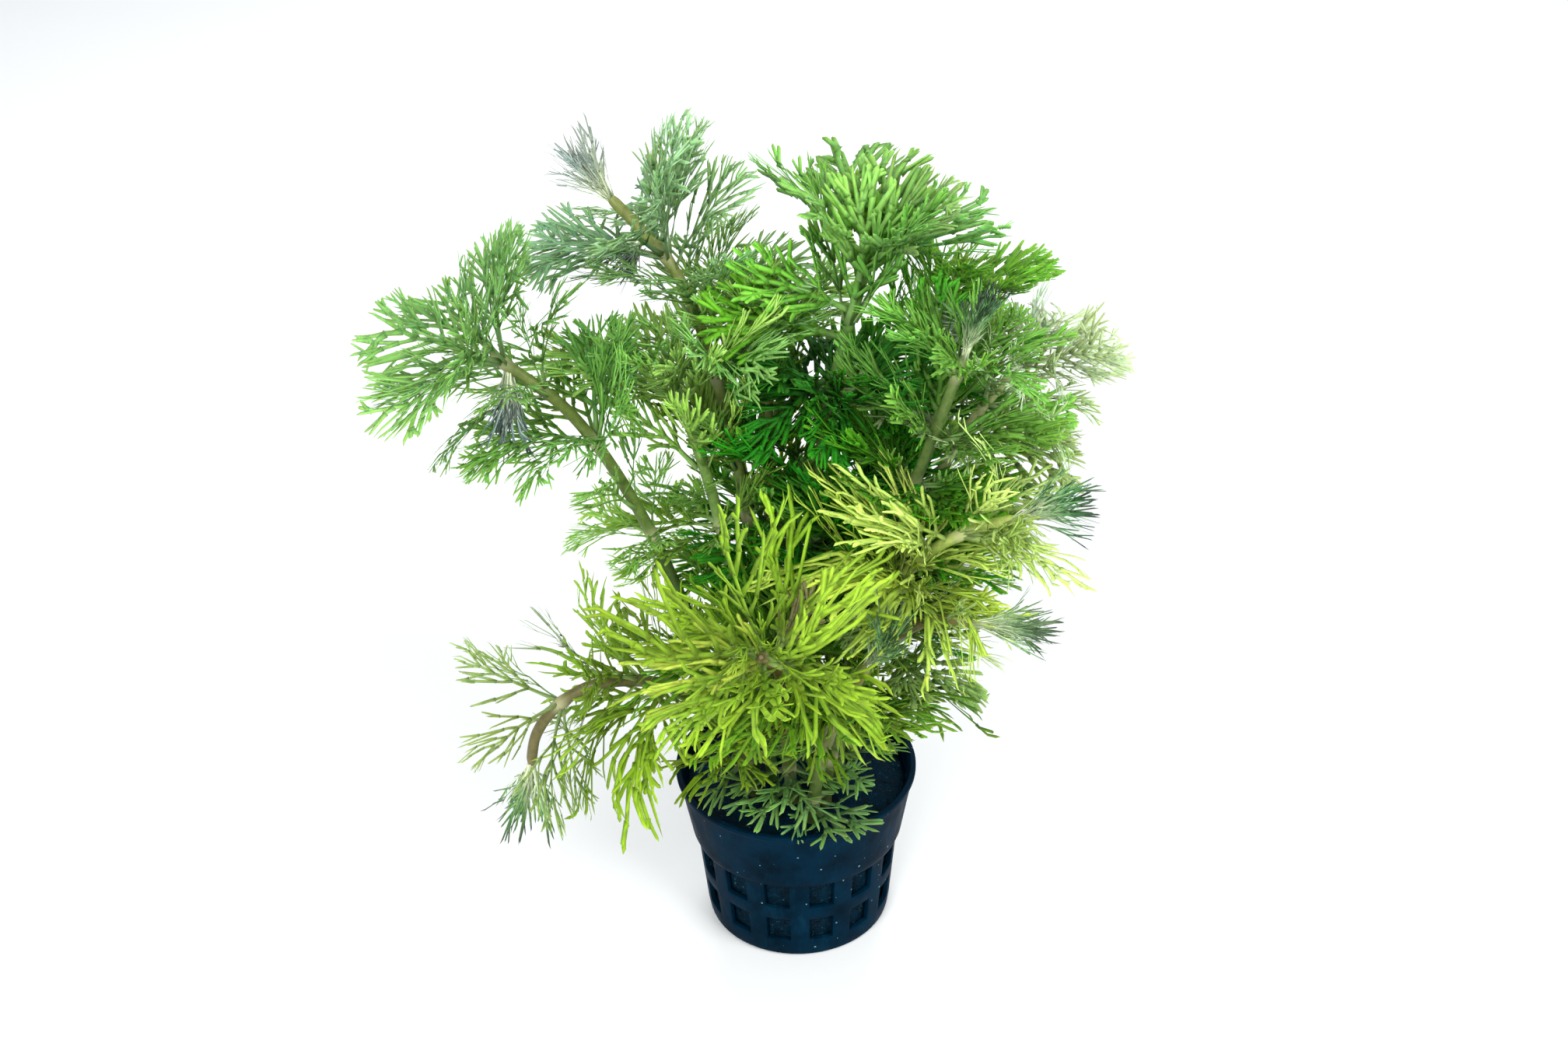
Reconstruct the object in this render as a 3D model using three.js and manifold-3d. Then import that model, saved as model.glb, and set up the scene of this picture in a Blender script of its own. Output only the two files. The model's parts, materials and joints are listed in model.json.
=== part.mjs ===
// A potted ambulia (Limnophila), as sold for planting in a pond or an aquarium: a bunch of soft stems with
// whorls of forked leaves, rooted in a plug of mineral wool that fills a small net pot.
// Millimetres, +Z up. The origin is the centre of the pot's base, and -Y is the front.
import * as THREE from "three";
import { mergeVertices } from "three/addons/utils/BufferGeometryUtils.js";
import Module from "manifold-3d";

const wasm = await Module();
wasm.setup();

// Driving dimensions, in millimetres.
const pot = {
  height: 38,
  rimRadius: 26, // outside, at the lip
  collarHeight: 16, // the plain band below the lip
  collarFootRadius: 22.9, // outside, at the band's lower edge
  ledge: 0.8, // how far the lattice wall steps in below the band
  footRadius: 20.1,
  wall: 1.1,
  base: 1.4,
  round: 1.2, // bevel where the wall meets the base
};
const windows = { perRow: 14, width: 5.4, heights: [6.4, 6.9], lowest: 5, bar: 3.3 };
const drain = { slots: 7, inner: 5, outer: 16, width: 2.6 };
const plug = { belowLip: 3, clearance: 0.3 };
const stem = { radius: 1.4, sides: 8, bury: 12, stepLength: 9 };
const sleeve = { gap: 0.7, wall: 0.9, length: 2.6 };
const leaf = {
  length: 25,
  thickness: 0.9,
  petioleWidth: 1.4,
  petioleShare: 0.34, // of the leaf's length
  sideReach: 0.7, // how far along the leaf the side lobes end
  sideSpread: 0.36, // and how far out, both as shares of its length
  notch: [0.6, 0.085],
};
const bud = { radius: 3.1, length: 17, sides: 8 };
const touch = 0.3; // the gap left where two pieces meet
const leafGap = 0.35; // the least gap between two leaves
const lowestLeaf = 12; // no leaf hangs lower than this
const leavesPerWhorl = 6;

const segments = windows.perRow * 3; // facets round the pot
const plugTop = pot.height - plug.belowLip;

const finish = {
  pot: { color: 0x1c2a36, roughness: 0.55, metalness: 0 },
  plug: { color: 0x1d2a2e, roughness: 0.95, metalness: 0 },
  stem: { color: 0x6d6a3c, roughness: 0.6, metalness: 0 },
  leaf: { color: 0x4f9a2c, roughness: 0.5, metalness: 0 },
  bud: { color: 0x3d5a35, roughness: 0.6, metalness: 0 },
};

// Each shoot: where it enters the plug, the points that it leans through to its tip, its whorls as shares of
// the free length with the leaf length there as a share of the common one, and whether a closed bud ends it.
const shoots = [
  {
    name: "back_left",
    foot: [-3, 6],
    through: [[-6, 5, 72], [-12, 11, 116], [-21, 18, 145], [-34, 23, 160]],
    whorls: [[0.46, 0.95], [0.68, 1.05], [0.88, 1.15]],
    bud: true,
  },
  {
    name: "left",
    foot: [-9, 2],
    through: [[-17, 0, 62], [-30, -3, 104], [-42, -6, 128], [-55, -8, 141]],
    whorls: [[0.3, 0.85], [0.56, 1.05], [0.77, 0.95], [0.98, 1]],
  },
  {
    name: "middle_left",
    foot: [-5, -2],
    through: [[-9, -1, 64], [-15, 2, 102], [-22, 6, 128]],
    whorls: [[0.36, 0.85], [0.66, 0.95], [0.96, 1.1]],
  },
  {
    name: "back",
    foot: [-1, 11],
    through: [[-4, 15, 76], [-4, 17, 112], [-3, 19, 135]],
    whorls: [[0.45, 0.9], [0.72, 1], [0.97, 0.85]],
  },
  {
    name: "crown",
    foot: [3, 4],
    through: [[3, 5, 75], [8, 9, 118], [17, 14, 151]],
    whorls: [[0.22, 0.8], [0.48, 1.05], [0.73, 1], [0.98, 1.2]],
  },
  {
    name: "back_right",
    foot: [6, 10],
    through: [[13, 15, 78], [24, 22, 110], [34, 28, 135]],
    whorls: [[0.5, 0.9], [0.75, 1], [0.97, 0.95]],
  },
  {
    name: "right",
    foot: [8, 1],
    through: [[14, 0, 76], [26, -3, 112], [34, -3, 136]],
    whorls: [[0.42, 0.9], [0.72, 1], [0.96, 0.85]],
    bud: true,
  },
  {
    name: "far_right",
    foot: [12, 5],
    through: [[21, 6, 80], [34, 9, 110], [48, 11, 130]],
    whorls: [[0.52, 0.95], [0.76, 1], [0.97, 0.95]],
  },
  {
    name: "low_right",
    foot: [9, -5],
    through: [[11, -10, 68], [21, -17, 95], [32, -21, 107], [43, -22, 111]],
    whorls: [[0.34, 0.85], [0.62, 1.05], [0.88, 0.85]],
    bud: true,
  },
  {
    name: "arching_right",
    foot: [6, -11],
    through: [[9, -14, 58], [17, -17, 78], [27, -20, 87], [36, -20, 86]],
    whorls: [[0.2, 0.75], [0.72, 1]],
    bud: true,
  },
  {
    name: "front",
    foot: [-1, -10],
    through: [[-2, -17, 58], [-3, -29, 82], [-6, -44, 96]],
    whorls: [[0.16, 0.75], [0.62, 0.95], [0.97, 1]],
  },
  {
    name: "arching_left",
    foot: [-9, -7],
    through: [[-13, -12, 54], [-25, -17, 71], [-41, -21, 74], [-51, -21, 65], [-54, -20, 54]],
    whorls: [[0.14, 0.7], [0.5, 1.1], [0.78, 0.9]],
    bud: true,
  },
  {
    name: "front_right",
    foot: [3, -16],
    through: [[5, -22, 54], [9, -31, 75], [14, -37, 89]],
    whorls: [[0.12, 0.7], [0.68, 0.95]],
    bud: true,
  },
];

// A repeatable number from 0 to 1 for each seed, so that the plant grows the same way every time.
const chance = (seed) => {
  const s = Math.sin(seed * 12.9898) * 43758.5453;
  return s - Math.floor(s);
};
const about = (seed, spread) => (chance(seed) * 2 - 1) * spread;

// Closed three.js geometry to a manifold-3d solid, and back.
function toSolid(geometry) {
  const open = geometry.index ? geometry.toNonIndexed() : geometry.clone();
  const bare = new THREE.BufferGeometry().setAttribute("position", open.getAttribute("position"));
  const merged = mergeVertices(bare, 1e-4);
  return new wasm.Manifold(
    new wasm.Mesh({
      numProp: 3,
      vertProperties: merged.attributes.position.array,
      triVerts: new Uint32Array(merged.index.array),
    }),
  );
}

function toGeometry(solid) {
  const mesh = solid.getMesh();
  const geometry = new THREE.BufferGeometry();
  geometry.setAttribute("position", new THREE.BufferAttribute(mesh.vertProperties, 3));
  geometry.setIndex(new THREE.BufferAttribute(mesh.triVerts, 1));
  geometry.computeVertexNormals();
  return geometry;
}

const plant = new THREE.Group();

function addPiece(name, geometry, look) {
  const mesh = new THREE.Mesh(geometry, new THREE.MeshStandardMaterial(look));
  mesh.name = name;
  plant.add(mesh);
}

// A solid of revolution about +Z from [radius, height] points that start and end on the axis.
function turned(profile, sides) {
  const points = profile.map(([r, z]) => new THREE.Vector2(r, z));
  return new THREE.LatheGeometry(points, sides).rotateX(Math.PI / 2);
}

// The pot's outer radius on the lattice wall at a height.
const shoulder = pot.height - pot.collarHeight;
const wallRadius = (z) => {
  const top = pot.collarFootRadius - pot.ledge;
  return pot.footRadius + ((top - pot.footRadius) * z) / shoulder;
};

// The pot: a tapered band over a lattice wall with two rows of windows, and a slotted base.
function makePot() {
  const body = toSolid(
    turned(
      [
        [0, 0],
        [pot.footRadius - pot.round, 0],
        [wallRadius(pot.round), pot.round],
        [wallRadius(shoulder), shoulder],
        [pot.collarFootRadius, shoulder],
        [pot.rimRadius, pot.height],
        [pot.rimRadius - pot.wall, pot.height],
        [pot.collarFootRadius - pot.wall, shoulder],
        [wallRadius(pot.base) - pot.wall, pot.base],
        [0, pot.base],
      ],
      segments,
    ),
  );
  const cuts = [];
  let z = windows.lowest;
  for (const tall of windows.heights) {
    for (let i = 0; i < windows.perRow; i++) {
      const box = new THREE.BoxGeometry(pot.wall * 8, windows.width, tall);
      box.translate(wallRadius(z), 0, z + tall / 2);
      box.rotateZ((i * 2 * Math.PI) / windows.perRow);
      cuts.push(toSolid(box));
    }
    z += tall + windows.bar;
  }
  for (let i = 0; i < drain.slots; i++) {
    const slot = new THREE.BoxGeometry(drain.outer - drain.inner, drain.width, pot.base * 4);
    slot.translate((drain.outer + drain.inner) / 2, 0, 0);
    slot.rotateZ(((i + 0.5) * 2 * Math.PI) / drain.slots);
    cuts.push(toSolid(slot));
  }
  return body.subtract(wasm.Manifold.union(cuts));
}

// A shoot's centre line, from a depth inside the plug to its tip.
function stemPath(shoot, depth) {
  const points = [
    new THREE.Vector3(...shoot.foot, plugTop - depth),
    new THREE.Vector3(...shoot.foot, plugTop),
    ...shoot.through.map((p) => new THREE.Vector3(...p)),
  ];
  return new THREE.CatmullRomCurve3(points, false, "centripetal");
}

function polygon(radius, sides) {
  const shape = new THREE.Shape();
  for (let i = 0; i < sides; i++) {
    const a = (i * 2 * Math.PI) / sides;
    if (i) shape.lineTo(radius * Math.cos(a), radius * Math.sin(a));
    else shape.moveTo(radius * Math.cos(a), radius * Math.sin(a));
  }
  shape.closePath();
  return shape;
}

function stemGeometry(path, radius) {
  const steps = Math.ceil(path.getLength() / stem.stepLength);
  return new THREE.ExtrudeGeometry(polygon(radius, stem.sides), { steps, extrudePath: path });
}

// A frame at a point of the path: z along the stem, x and y across it.
function frameAt(path, share) {
  const along = path.getTangentAt(share);
  const across = new THREE.Vector3(0, 1, 0).cross(along).normalize();
  const third = along.clone().cross(across);
  const matrix = new THREE.Matrix4().makeBasis(across, third, along);
  return matrix.setPosition(path.getPointAt(share));
}

// The swollen node that a whorl grows from: a short sleeve round the stem, with a flat for each leaf.
const sleeveInside = (stem.radius + sleeve.gap) / Math.cos(Math.PI / leavesPerWhorl);
const leafStart = sleeveInside + 0.25 * sleeve.wall;

function sleeveGeometry(round) {
  const ring = polygon(sleeveInside + sleeve.wall, leavesPerWhorl);
  ring.holes.push(polygon(sleeveInside, leavesPerWhorl));
  const made = new THREE.ExtrudeGeometry(ring, { depth: sleeve.length, bevelEnabled: false, steps: 1 });
  return made.translate(0, 0, -sleeve.length / 2).rotateZ(round - Math.PI / leavesPerWhorl);
}

// A three-lobed blade on its stalk, growing along +X with its upper face to +Z, that arches down by `droop`
// of its length. The outline has a point at each tip and each notch.
function leafGeometry(length, droop) {
  const stalk = leaf.petioleWidth / 2;
  const half = [
    [0, stalk],
    [leaf.petioleShare * length, stalk * 0.85],
    [leaf.sideReach * length, leaf.sideSpread * length],
    [leaf.notch[0] * length, leaf.notch[1] * length],
  ];
  const outline = [...half.map(([x, y]) => [x, -y]), [length, 0], ...half.reverse()];
  const shape = new THREE.Shape(outline.map(([x, y]) => new THREE.Vector2(x, y)));
  const made = new THREE.ExtrudeGeometry(shape, { depth: leaf.thickness, bevelEnabled: false, steps: 1 });
  made.translate(0, 0, -leaf.thickness / 2);
  const at = made.getAttribute("position");
  for (let i = 0; i < at.count; i++) {
    const s = at.getX(i) / length;
    at.setZ(i, at.getZ(i) - droop * length * s * s);
  }
  return made;
}

// The leaf's place on its whorl: turned by `round` about the stem and leaning out from it by `lean`.
function leafMatrix(frame, round, lean) {
  const place = new THREE.Matrix4().makeRotationZ(round);
  place.multiply(new THREE.Matrix4().makeRotationY(lean - Math.PI / 2));
  const root = [leafStart * Math.cos(round), leafStart * Math.sin(round), 0];
  return frame.clone().multiply(new THREE.Matrix4().makeTranslation(...root)).multiply(place);
}

// Everything made so far, so that a new leaf can find a clear place.
const placed = [];
const keep = (solid) => placed.push({ solid, box: solid.boundingBox() });
const apart = (a, b, gap) => [0, 1, 2].some((k) => a.min[k] > b.max[k] + gap || b.min[k] > a.max[k] + gap);

function isClear(solid, ring) {
  const box = solid.boundingBox();
  if (box.min[2] < lowestLeaf) return false;
  return !placed.some(
    (other) =>
      other.solid !== ring && !apart(box, other.box, leafGap) && solid.minGap(other.solid, leafGap) < leafGap,
  );
}

const degree = Math.PI / 180;
const lengthTries = [1, 0.86, 0.72, 0.58, 0.44];
const turnTries = [0, 8, -8, 16, -16];
const leanTries = [0, 10, -10, 20, -20, 30];

// A whorl's leaves, joined to its sleeve. A leaf that would touch another turns, lifts or stays shorter, and
// in the thick of the plant one that still finds no room isn't grown.
function makeWhorl({ frame, round, ring, share, size, seed }) {
  const leaves = [];
  for (let i = 0; i < leavesPerWhorl; i++) {
    const found = findPlace(frame, ring, {
      turn: round / degree + (i * 360) / leavesPerWhorl,
      lean: 78 - 26 * share + about(seed + i + 0.5, 9),
      droop: 0.22 - 0.16 * share + about(seed + i + 0.7, 0.06),
      full: leaf.length * size * (1 + about(seed + i + 0.9, 0.12)),
    });
    if (!found) continue;
    leaves.push(found);
    keep(found);
  }
  return wasm.Manifold.union([ring, ...leaves]);
}

function findPlace(frame, ring, { turn, lean, droop, full }) {
  for (const shorter of lengthTries)
    for (const dLean of leanTries)
      for (const dTurn of turnTries) {
        const place = leafMatrix(frame, (turn + dTurn) * degree, (lean + dLean) * degree);
        const tried = toSolid(leafGeometry(full * shorter, droop).applyMatrix4(place));
        if (isClear(tried, ring)) return tried;
      }
  return null;
}

// A whorl's share counts from the plug's top; the path's own share starts at the buried end.
function stemShare(path, share) {
  const buried = stem.bury / path.getLength();
  return buried + (1 - buried) * share;
}

// The closed tuft of young leaves at a shoot's tip.
function makeBud(path) {
  const { radius: r, length: l } = bud;
  const tuft = turned([[0, 0], [stem.radius, 0], [r, 0.35 * l], [0.75 * r, 0.75 * l], [0, l]], bud.sides);
  tuft.translate(0, 0, touch);
  return toSolid(tuft.applyMatrix4(frameAt(path, 1)));
}

const potSolid = makePot();
keep(potSolid);
addPiece("net_pot", toGeometry(potSolid), finish.pot);

const paths = shoots.map((shoot) => stemPath(shoot, stem.bury));
const stems = paths.map((path) => toSolid(stemGeometry(path, stem.radius)));
stems.forEach(keep);

// The plug fills the pot to just under the lip. Each stem has a socket in it, wider and deeper by one gap.
const inside = pot.wall + plug.clearance;
const collarRadius = (z) =>
  pot.collarFootRadius + ((pot.rimRadius - pot.collarFootRadius) * (z - shoulder)) / pot.collarHeight;
const socketRadius = (stem.radius + touch) / Math.cos(Math.PI / stem.sides);
const sockets = shoots.map((shoot) =>
  toSolid(stemGeometry(stemPath(shoot, stem.bury + touch), socketRadius)),
);
const plugSolid = toSolid(
  turned(
    [
      [0, pot.base + touch],
      [wallRadius(pot.base) - inside, pot.base + touch],
      [wallRadius(shoulder) - inside, shoulder],
      [collarRadius(plugTop) - inside, plugTop],
      [0, plugTop],
    ],
    segments / 2,
  ),
).subtract(wasm.Manifold.union(sockets));
keep(plugSolid);
addPiece("growing_plug", toGeometry(plugSolid), finish.plug);

shoots.forEach((shoot, i) => addPiece("stem_" + shoot.name, toGeometry(stems[i]), finish.stem));
shoots.forEach((shoot, i) => {
  if (!shoot.bud) return;
  const tuft = makeBud(paths[i]);
  keep(tuft);
  addPiece("bud_" + shoot.name, toGeometry(tuft), finish.bud);
});

// Every sleeve takes its place before the first leaf grows.
const whorls = shoots.flatMap((shoot, i) =>
  shoot.whorls.map(([share, size], k) => {
    const seed = 10 * i + k + 1;
    const round = (chance(seed) * 2 * Math.PI) / leavesPerWhorl;
    const frame = frameAt(paths[i], stemShare(paths[i], share));
    const ring = toSolid(sleeveGeometry(round).applyMatrix4(frame));
    keep(ring);
    return { name: "leaves_" + shoot.name + "_" + (k + 1), frame, round, ring, share, size, seed };
  }),
);
whorls.forEach((whorl) => addPiece(whorl.name, toGeometry(makeWhorl(whorl)), finish.leaf));

export default plant;
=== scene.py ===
# A potted ambulia: a bunch of soft water-plant stems with whorls of finely forked leaves, rooted in a plug of
# mineral wool in a small black net pot. Metres, +Z up, and -Y is the front.
import json
import math
import random

import bpy
import numpy as np
from mathutils import Matrix, Vector, noise

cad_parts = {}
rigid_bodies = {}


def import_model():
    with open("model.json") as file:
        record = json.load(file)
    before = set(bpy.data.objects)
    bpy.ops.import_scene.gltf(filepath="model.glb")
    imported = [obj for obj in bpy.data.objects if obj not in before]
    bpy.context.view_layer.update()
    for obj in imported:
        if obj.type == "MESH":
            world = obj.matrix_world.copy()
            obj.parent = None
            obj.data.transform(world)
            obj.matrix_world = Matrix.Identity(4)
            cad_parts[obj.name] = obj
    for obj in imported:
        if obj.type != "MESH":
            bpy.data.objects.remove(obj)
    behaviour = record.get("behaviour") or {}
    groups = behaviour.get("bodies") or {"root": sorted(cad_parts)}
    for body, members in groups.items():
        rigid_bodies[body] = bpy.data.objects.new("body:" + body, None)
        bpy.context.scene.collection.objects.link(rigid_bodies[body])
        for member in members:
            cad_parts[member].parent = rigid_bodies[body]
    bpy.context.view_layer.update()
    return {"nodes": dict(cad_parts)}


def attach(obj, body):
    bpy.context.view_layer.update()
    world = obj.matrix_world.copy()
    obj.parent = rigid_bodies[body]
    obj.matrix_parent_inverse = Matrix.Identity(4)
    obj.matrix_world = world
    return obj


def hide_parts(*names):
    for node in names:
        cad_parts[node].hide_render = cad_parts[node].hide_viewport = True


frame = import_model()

scene = bpy.context.scene
mm = 0.001
up = Vector((0, 0, 1))
shootNames = sorted(name[5:] for name in frame["nodes"] if name.startswith("stem_"))


def camel(name):
    first, *rest = name.split("_")
    return first + "".join(word.capitalize() for word in rest)


def linear(hexColour):
    # sRGB hex to the linear colour that shaders take
    parts = [int(hexColour[i : i + 2], 16) / 255 for i in (1, 3, 5)]
    return (*[c / 12.92 if c <= 0.04045 else ((c + 0.055) / 1.055) ** 2.4 for c in parts], 1)


def addNode(tree, kind, links=None, values=None, stops=None, **settings):
    # one node with its settings, the values on its own sockets, the links into them, and a ramp's stops
    node = tree.nodes.new(kind)
    for key, value in settings.items():
        setattr(node, key, value)
    for socket, value in (values or {}).items():
        node.inputs[socket].default_value = value
    for socket, source in (links or {}).items():
        output = source.outputs[0] if isinstance(source, bpy.types.Node) else source
        tree.links.new(output, node.inputs[socket])
    for i, (position, colour) in enumerate(stops or ()):
        elements = node.color_ramp.elements
        element = elements[i] if i < 2 else elements.new(position)
        element.position = position
        element.color = colour
    return node


def newMaterial(name, **settings):
    material = bpy.data.materials.new(name)
    material.use_nodes = True
    tree = material.node_tree
    shader = tree.nodes["Principled BSDF"]
    for key, value in settings.items():
        shader.inputs[key.replace("_", " ")].default_value = value
    return material, tree, shader


def newMesh(name, points, faces, attributes=None, edges=()):
    # attributes says what each point carries: name -> (type, one value for each point)
    mesh = bpy.data.meshes.new(name)
    mesh.from_pydata([tuple(p) for p in points], edges, faces)
    for key, (kind, values) in (attributes or {}).items():
        attribute = mesh.attributes.new(key, kind, "POINT")
        field = {"FLOAT": "value", "INT": "value", "FLOAT_VECTOR": "vector", "FLOAT_COLOR": "color"}[kind]
        attribute.data.foreach_set(field, np.array(values, np.int32 if kind == "INT" else np.float32).ravel())
    mesh.update()
    return mesh


def newObject(name, data):
    item = bpy.data.objects.new(name, data)
    scene.collection.objects.link(item)
    return item


def smooth(piece):
    piece.data.shade_smooth()
    return piece


# Camera, light and floor.
view = {
    "aim": (-0.0012, 0, 0.098),
    "distance": 0.391,
    "pitch": 30.8,  # degrees down from level
    "roll": -1.5,
    "lens": 44.64,
    "sensor": 36,
    "nearest": 0.01,
}
cameraData = bpy.data.cameras.new("camera")
cameraData.lens = view["lens"]
cameraData.sensor_width = view["sensor"]
cameraData.clip_start = view["nearest"]
camera = newObject("camera", cameraData)
pitch = math.radians(view["pitch"])
away = Vector((0, -math.cos(pitch), math.sin(pitch)))
roll = Matrix.Rotation(math.radians(view["roll"]), 3, "Z").to_quaternion()
camera.location = Vector(view["aim"]) + away * view["distance"]
camera.rotation_mode = "QUATERNION"
camera.rotation_quaternion = (-away).to_track_quat("-Z", "Y") @ roll
scene.camera = camera
scene.view_settings.view_transform = "Standard"

studio = {
    "world": "#eef2f5",
    "worldStrength": 0.5,
    "lamps": [  # where each stands, its size and its power
        ((-0.4, -0.95, 0.8), 0.6, 12.0),
        ((0.65, -0.6, 0.75), 0.6, 9.0),
        ((0.05, 0.8, 0.9), 0.7, 6.0),
    ],
    "lampAim": (0, 0, 0.08),
    "floor": "#f2f3f4",
    "floorSize": 6,
}
world = bpy.data.worlds.new("studio")
scene.world = world
world.use_nodes = True
sky = world.node_tree.nodes["Background"]
sky.inputs["Color"].default_value = linear(studio["world"])
sky.inputs["Strength"].default_value = studio["worldStrength"]
for i, (spot, size, power) in enumerate(studio["lamps"]):
    lamp = bpy.data.lights.new(f"lamp{i}", "AREA")
    lamp.size = size
    lamp.energy = power
    lampObject = newObject(f"lamp{i}", lamp)
    lampObject.location = spot
    lampObject.rotation_euler = (Vector(studio["lampAim"]) - Vector(spot)).to_track_quat("-Z", "Y").to_euler()
reach = studio["floorSize"] / 2
floorCorners = [(-reach, -reach, 0), (reach, -reach, 0), (reach, reach, 0), (-reach, reach, 0)]
floor = newObject("floor", newMesh("floor", floorCorners, [(0, 1, 2, 3)]))
paint, paintTree, paintShader = newMaterial("mattPaintedFloor", Base_Color=linear(studio["floor"]),
                                            Roughness=0.9)
paintSpeck = addNode(paintTree, "ShaderNodeTexNoise", values={"Scale": 40, "Detail": 3})
paintBump = addNode(paintTree, "ShaderNodeBump", {"Height": paintSpeck},
                    {"Strength": 0.02, "Distance": 0.001})
paintTree.links.new(paintBump.outputs[0], paintShader.inputs["Normal"])
floor.data.materials.append(paint)
print("camera, light and floor are in place")


# What the CAD says: each stem's centre line and each leaf's place.
cad = {
    "stemSides": 8,  # corners in one ring of a stem
    "sleeveReach": 3.5 * mm,  # how far a whorl's sleeve reaches from the stem's line
    "leafRoot": 1.0 * mm,  # how far from that line a leaf starts
    "leafCorners": 10,  # a loose group with fewer corners isn't a leaf
    "tipCorners": 2,
    "stalkCorners": 4,
}
lineLook = {"step": 0.8 * mm, "finer": 40, "least": 8, "chord": 2}  # how the stems' lines are sampled


def cadPoints(node):
    # a node's distinct corners and which of them share an edge; its mesh is loose triangles
    mesh = frame["nodes"][node].data
    co = np.empty(len(mesh.vertices) * 3)
    mesh.vertices.foreach_get("co", co)
    points, index = np.unique(np.round(co.reshape(-1, 3), 6), axis=0, return_inverse=True)
    index = index.ravel()
    edges = {(index[a], index[b]) for a, b in (edge.vertices for edge in mesh.edges)}
    return points, edges


def stemLine(shoot):
    # the centres of the stem's rings, from the buried end to the tip
    points, _ = cadPoints("stem_" + shoot)
    left = points[np.argsort(points[:, 2])]
    centre, line = left[0], []
    while len(left) >= cad["stemSides"]:
        order = np.argsort(np.linalg.norm(left - centre, axis=1))
        ring, left = left[order[: cad["stemSides"]]], left[order[cad["stemSides"] :]]
        centre = ring.mean(0)
        line.append(centre)
    return np.array(line)


def smoothLine(line):
    # a smooth curve through the ring centres, sampled at an even step
    def atShare(t):
        i = min(int(t), len(line) - 2)
        f = t - i
        before, a, b, after = (line[min(max(k, 0), len(line) - 1)] for k in (i - 1, i, i + 1, i + 2))
        square = 2 * before - 5 * a + 4 * b - after
        cube = 3 * a - before - 3 * b + after
        return 0.5 * (2 * a + (b - before) * f + square * f**2 + cube * f**3)

    fine = np.array([atShare(t) for t in np.linspace(0, len(line) - 1, lineLook["finer"] * len(line))])
    run = np.concatenate([[0], np.cumsum(np.linalg.norm(np.diff(fine, axis=0), axis=1))])
    even = np.linspace(0, run[-1], max(lineLook["least"], round(run[-1] / lineLook["step"])))
    return np.column_stack([np.interp(even, run, fine[:, k]) for k in range(3)])


def chordAt(line, at):
    # the way the line runs at one of its points
    return line[min(at + lineLook["chord"], len(line) - 1)] - line[max(at - lineLook["chord"], 0)]


def whorlPlaces(node, line):
    # the whorl's centre and direction on its stem, and each leaf's root, tip and upper side
    points, edges = cadPoints(node)
    gaps = np.linalg.norm(points[:, None] - line[None], axis=2)
    nearest, distance = gaps.argmin(1), gaps.min(1)
    at = int(np.median(nearest[distance < cad["sleeveReach"]]))
    centre = line[at]
    along = chordAt(line, at)
    along /= np.linalg.norm(along)
    free = np.linalg.norm(np.cross(points - centre, along), axis=1) > cad["sleeveReach"]
    group = {i: i for i in np.flatnonzero(free)}

    def rootOf(i):
        while group[i] != i:
            i = group[i]
        return i

    for a, b in edges:
        if a in group and b in group:
            group[rootOf(a)] = rootOf(b)
    leaves = {}
    for i in group:
        leaves.setdefault(rootOf(i), []).append(points[i])
    places = []
    for corners in map(np.array, leaves.values()):
        if len(corners) < cad["leafCorners"]:
            continue
        outwards = np.argsort(np.linalg.norm(corners - centre, axis=1))
        tip = corners[outwards[-cad["tipCorners"] :]].mean(0)
        stalk = corners[outwards[: cad["stalkCorners"]]].mean(0)
        outward = stalk - centre
        outward -= along * outward.dot(along)
        outward /= np.linalg.norm(outward)
        root = centre + outward * cad["leafRoot"]
        face = np.linalg.svd(corners - corners.mean(0))[2][2]
        places.append({"root": root, "tip": tip, "face": face * (1 if face.dot(along) > 0 else -1)})
    return centre, along, places


lines = {shoot: smoothLine(stemLine(shoot)) for shoot in shootNames}
whorls = {}
for shoot in shootNames:
    nodes = sorted(name for name in frame["nodes"] if name.rsplit("_", 1)[0] == "leaves_" + shoot)
    whorls[shoot] = [(node, *whorlPlaces(node, lines[shoot])) for node in nodes]
leafCount = sum(len(whorl[3]) for found in whorls.values() for whorl in found)
print("read", leafCount, "leaf places from the frame")


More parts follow.
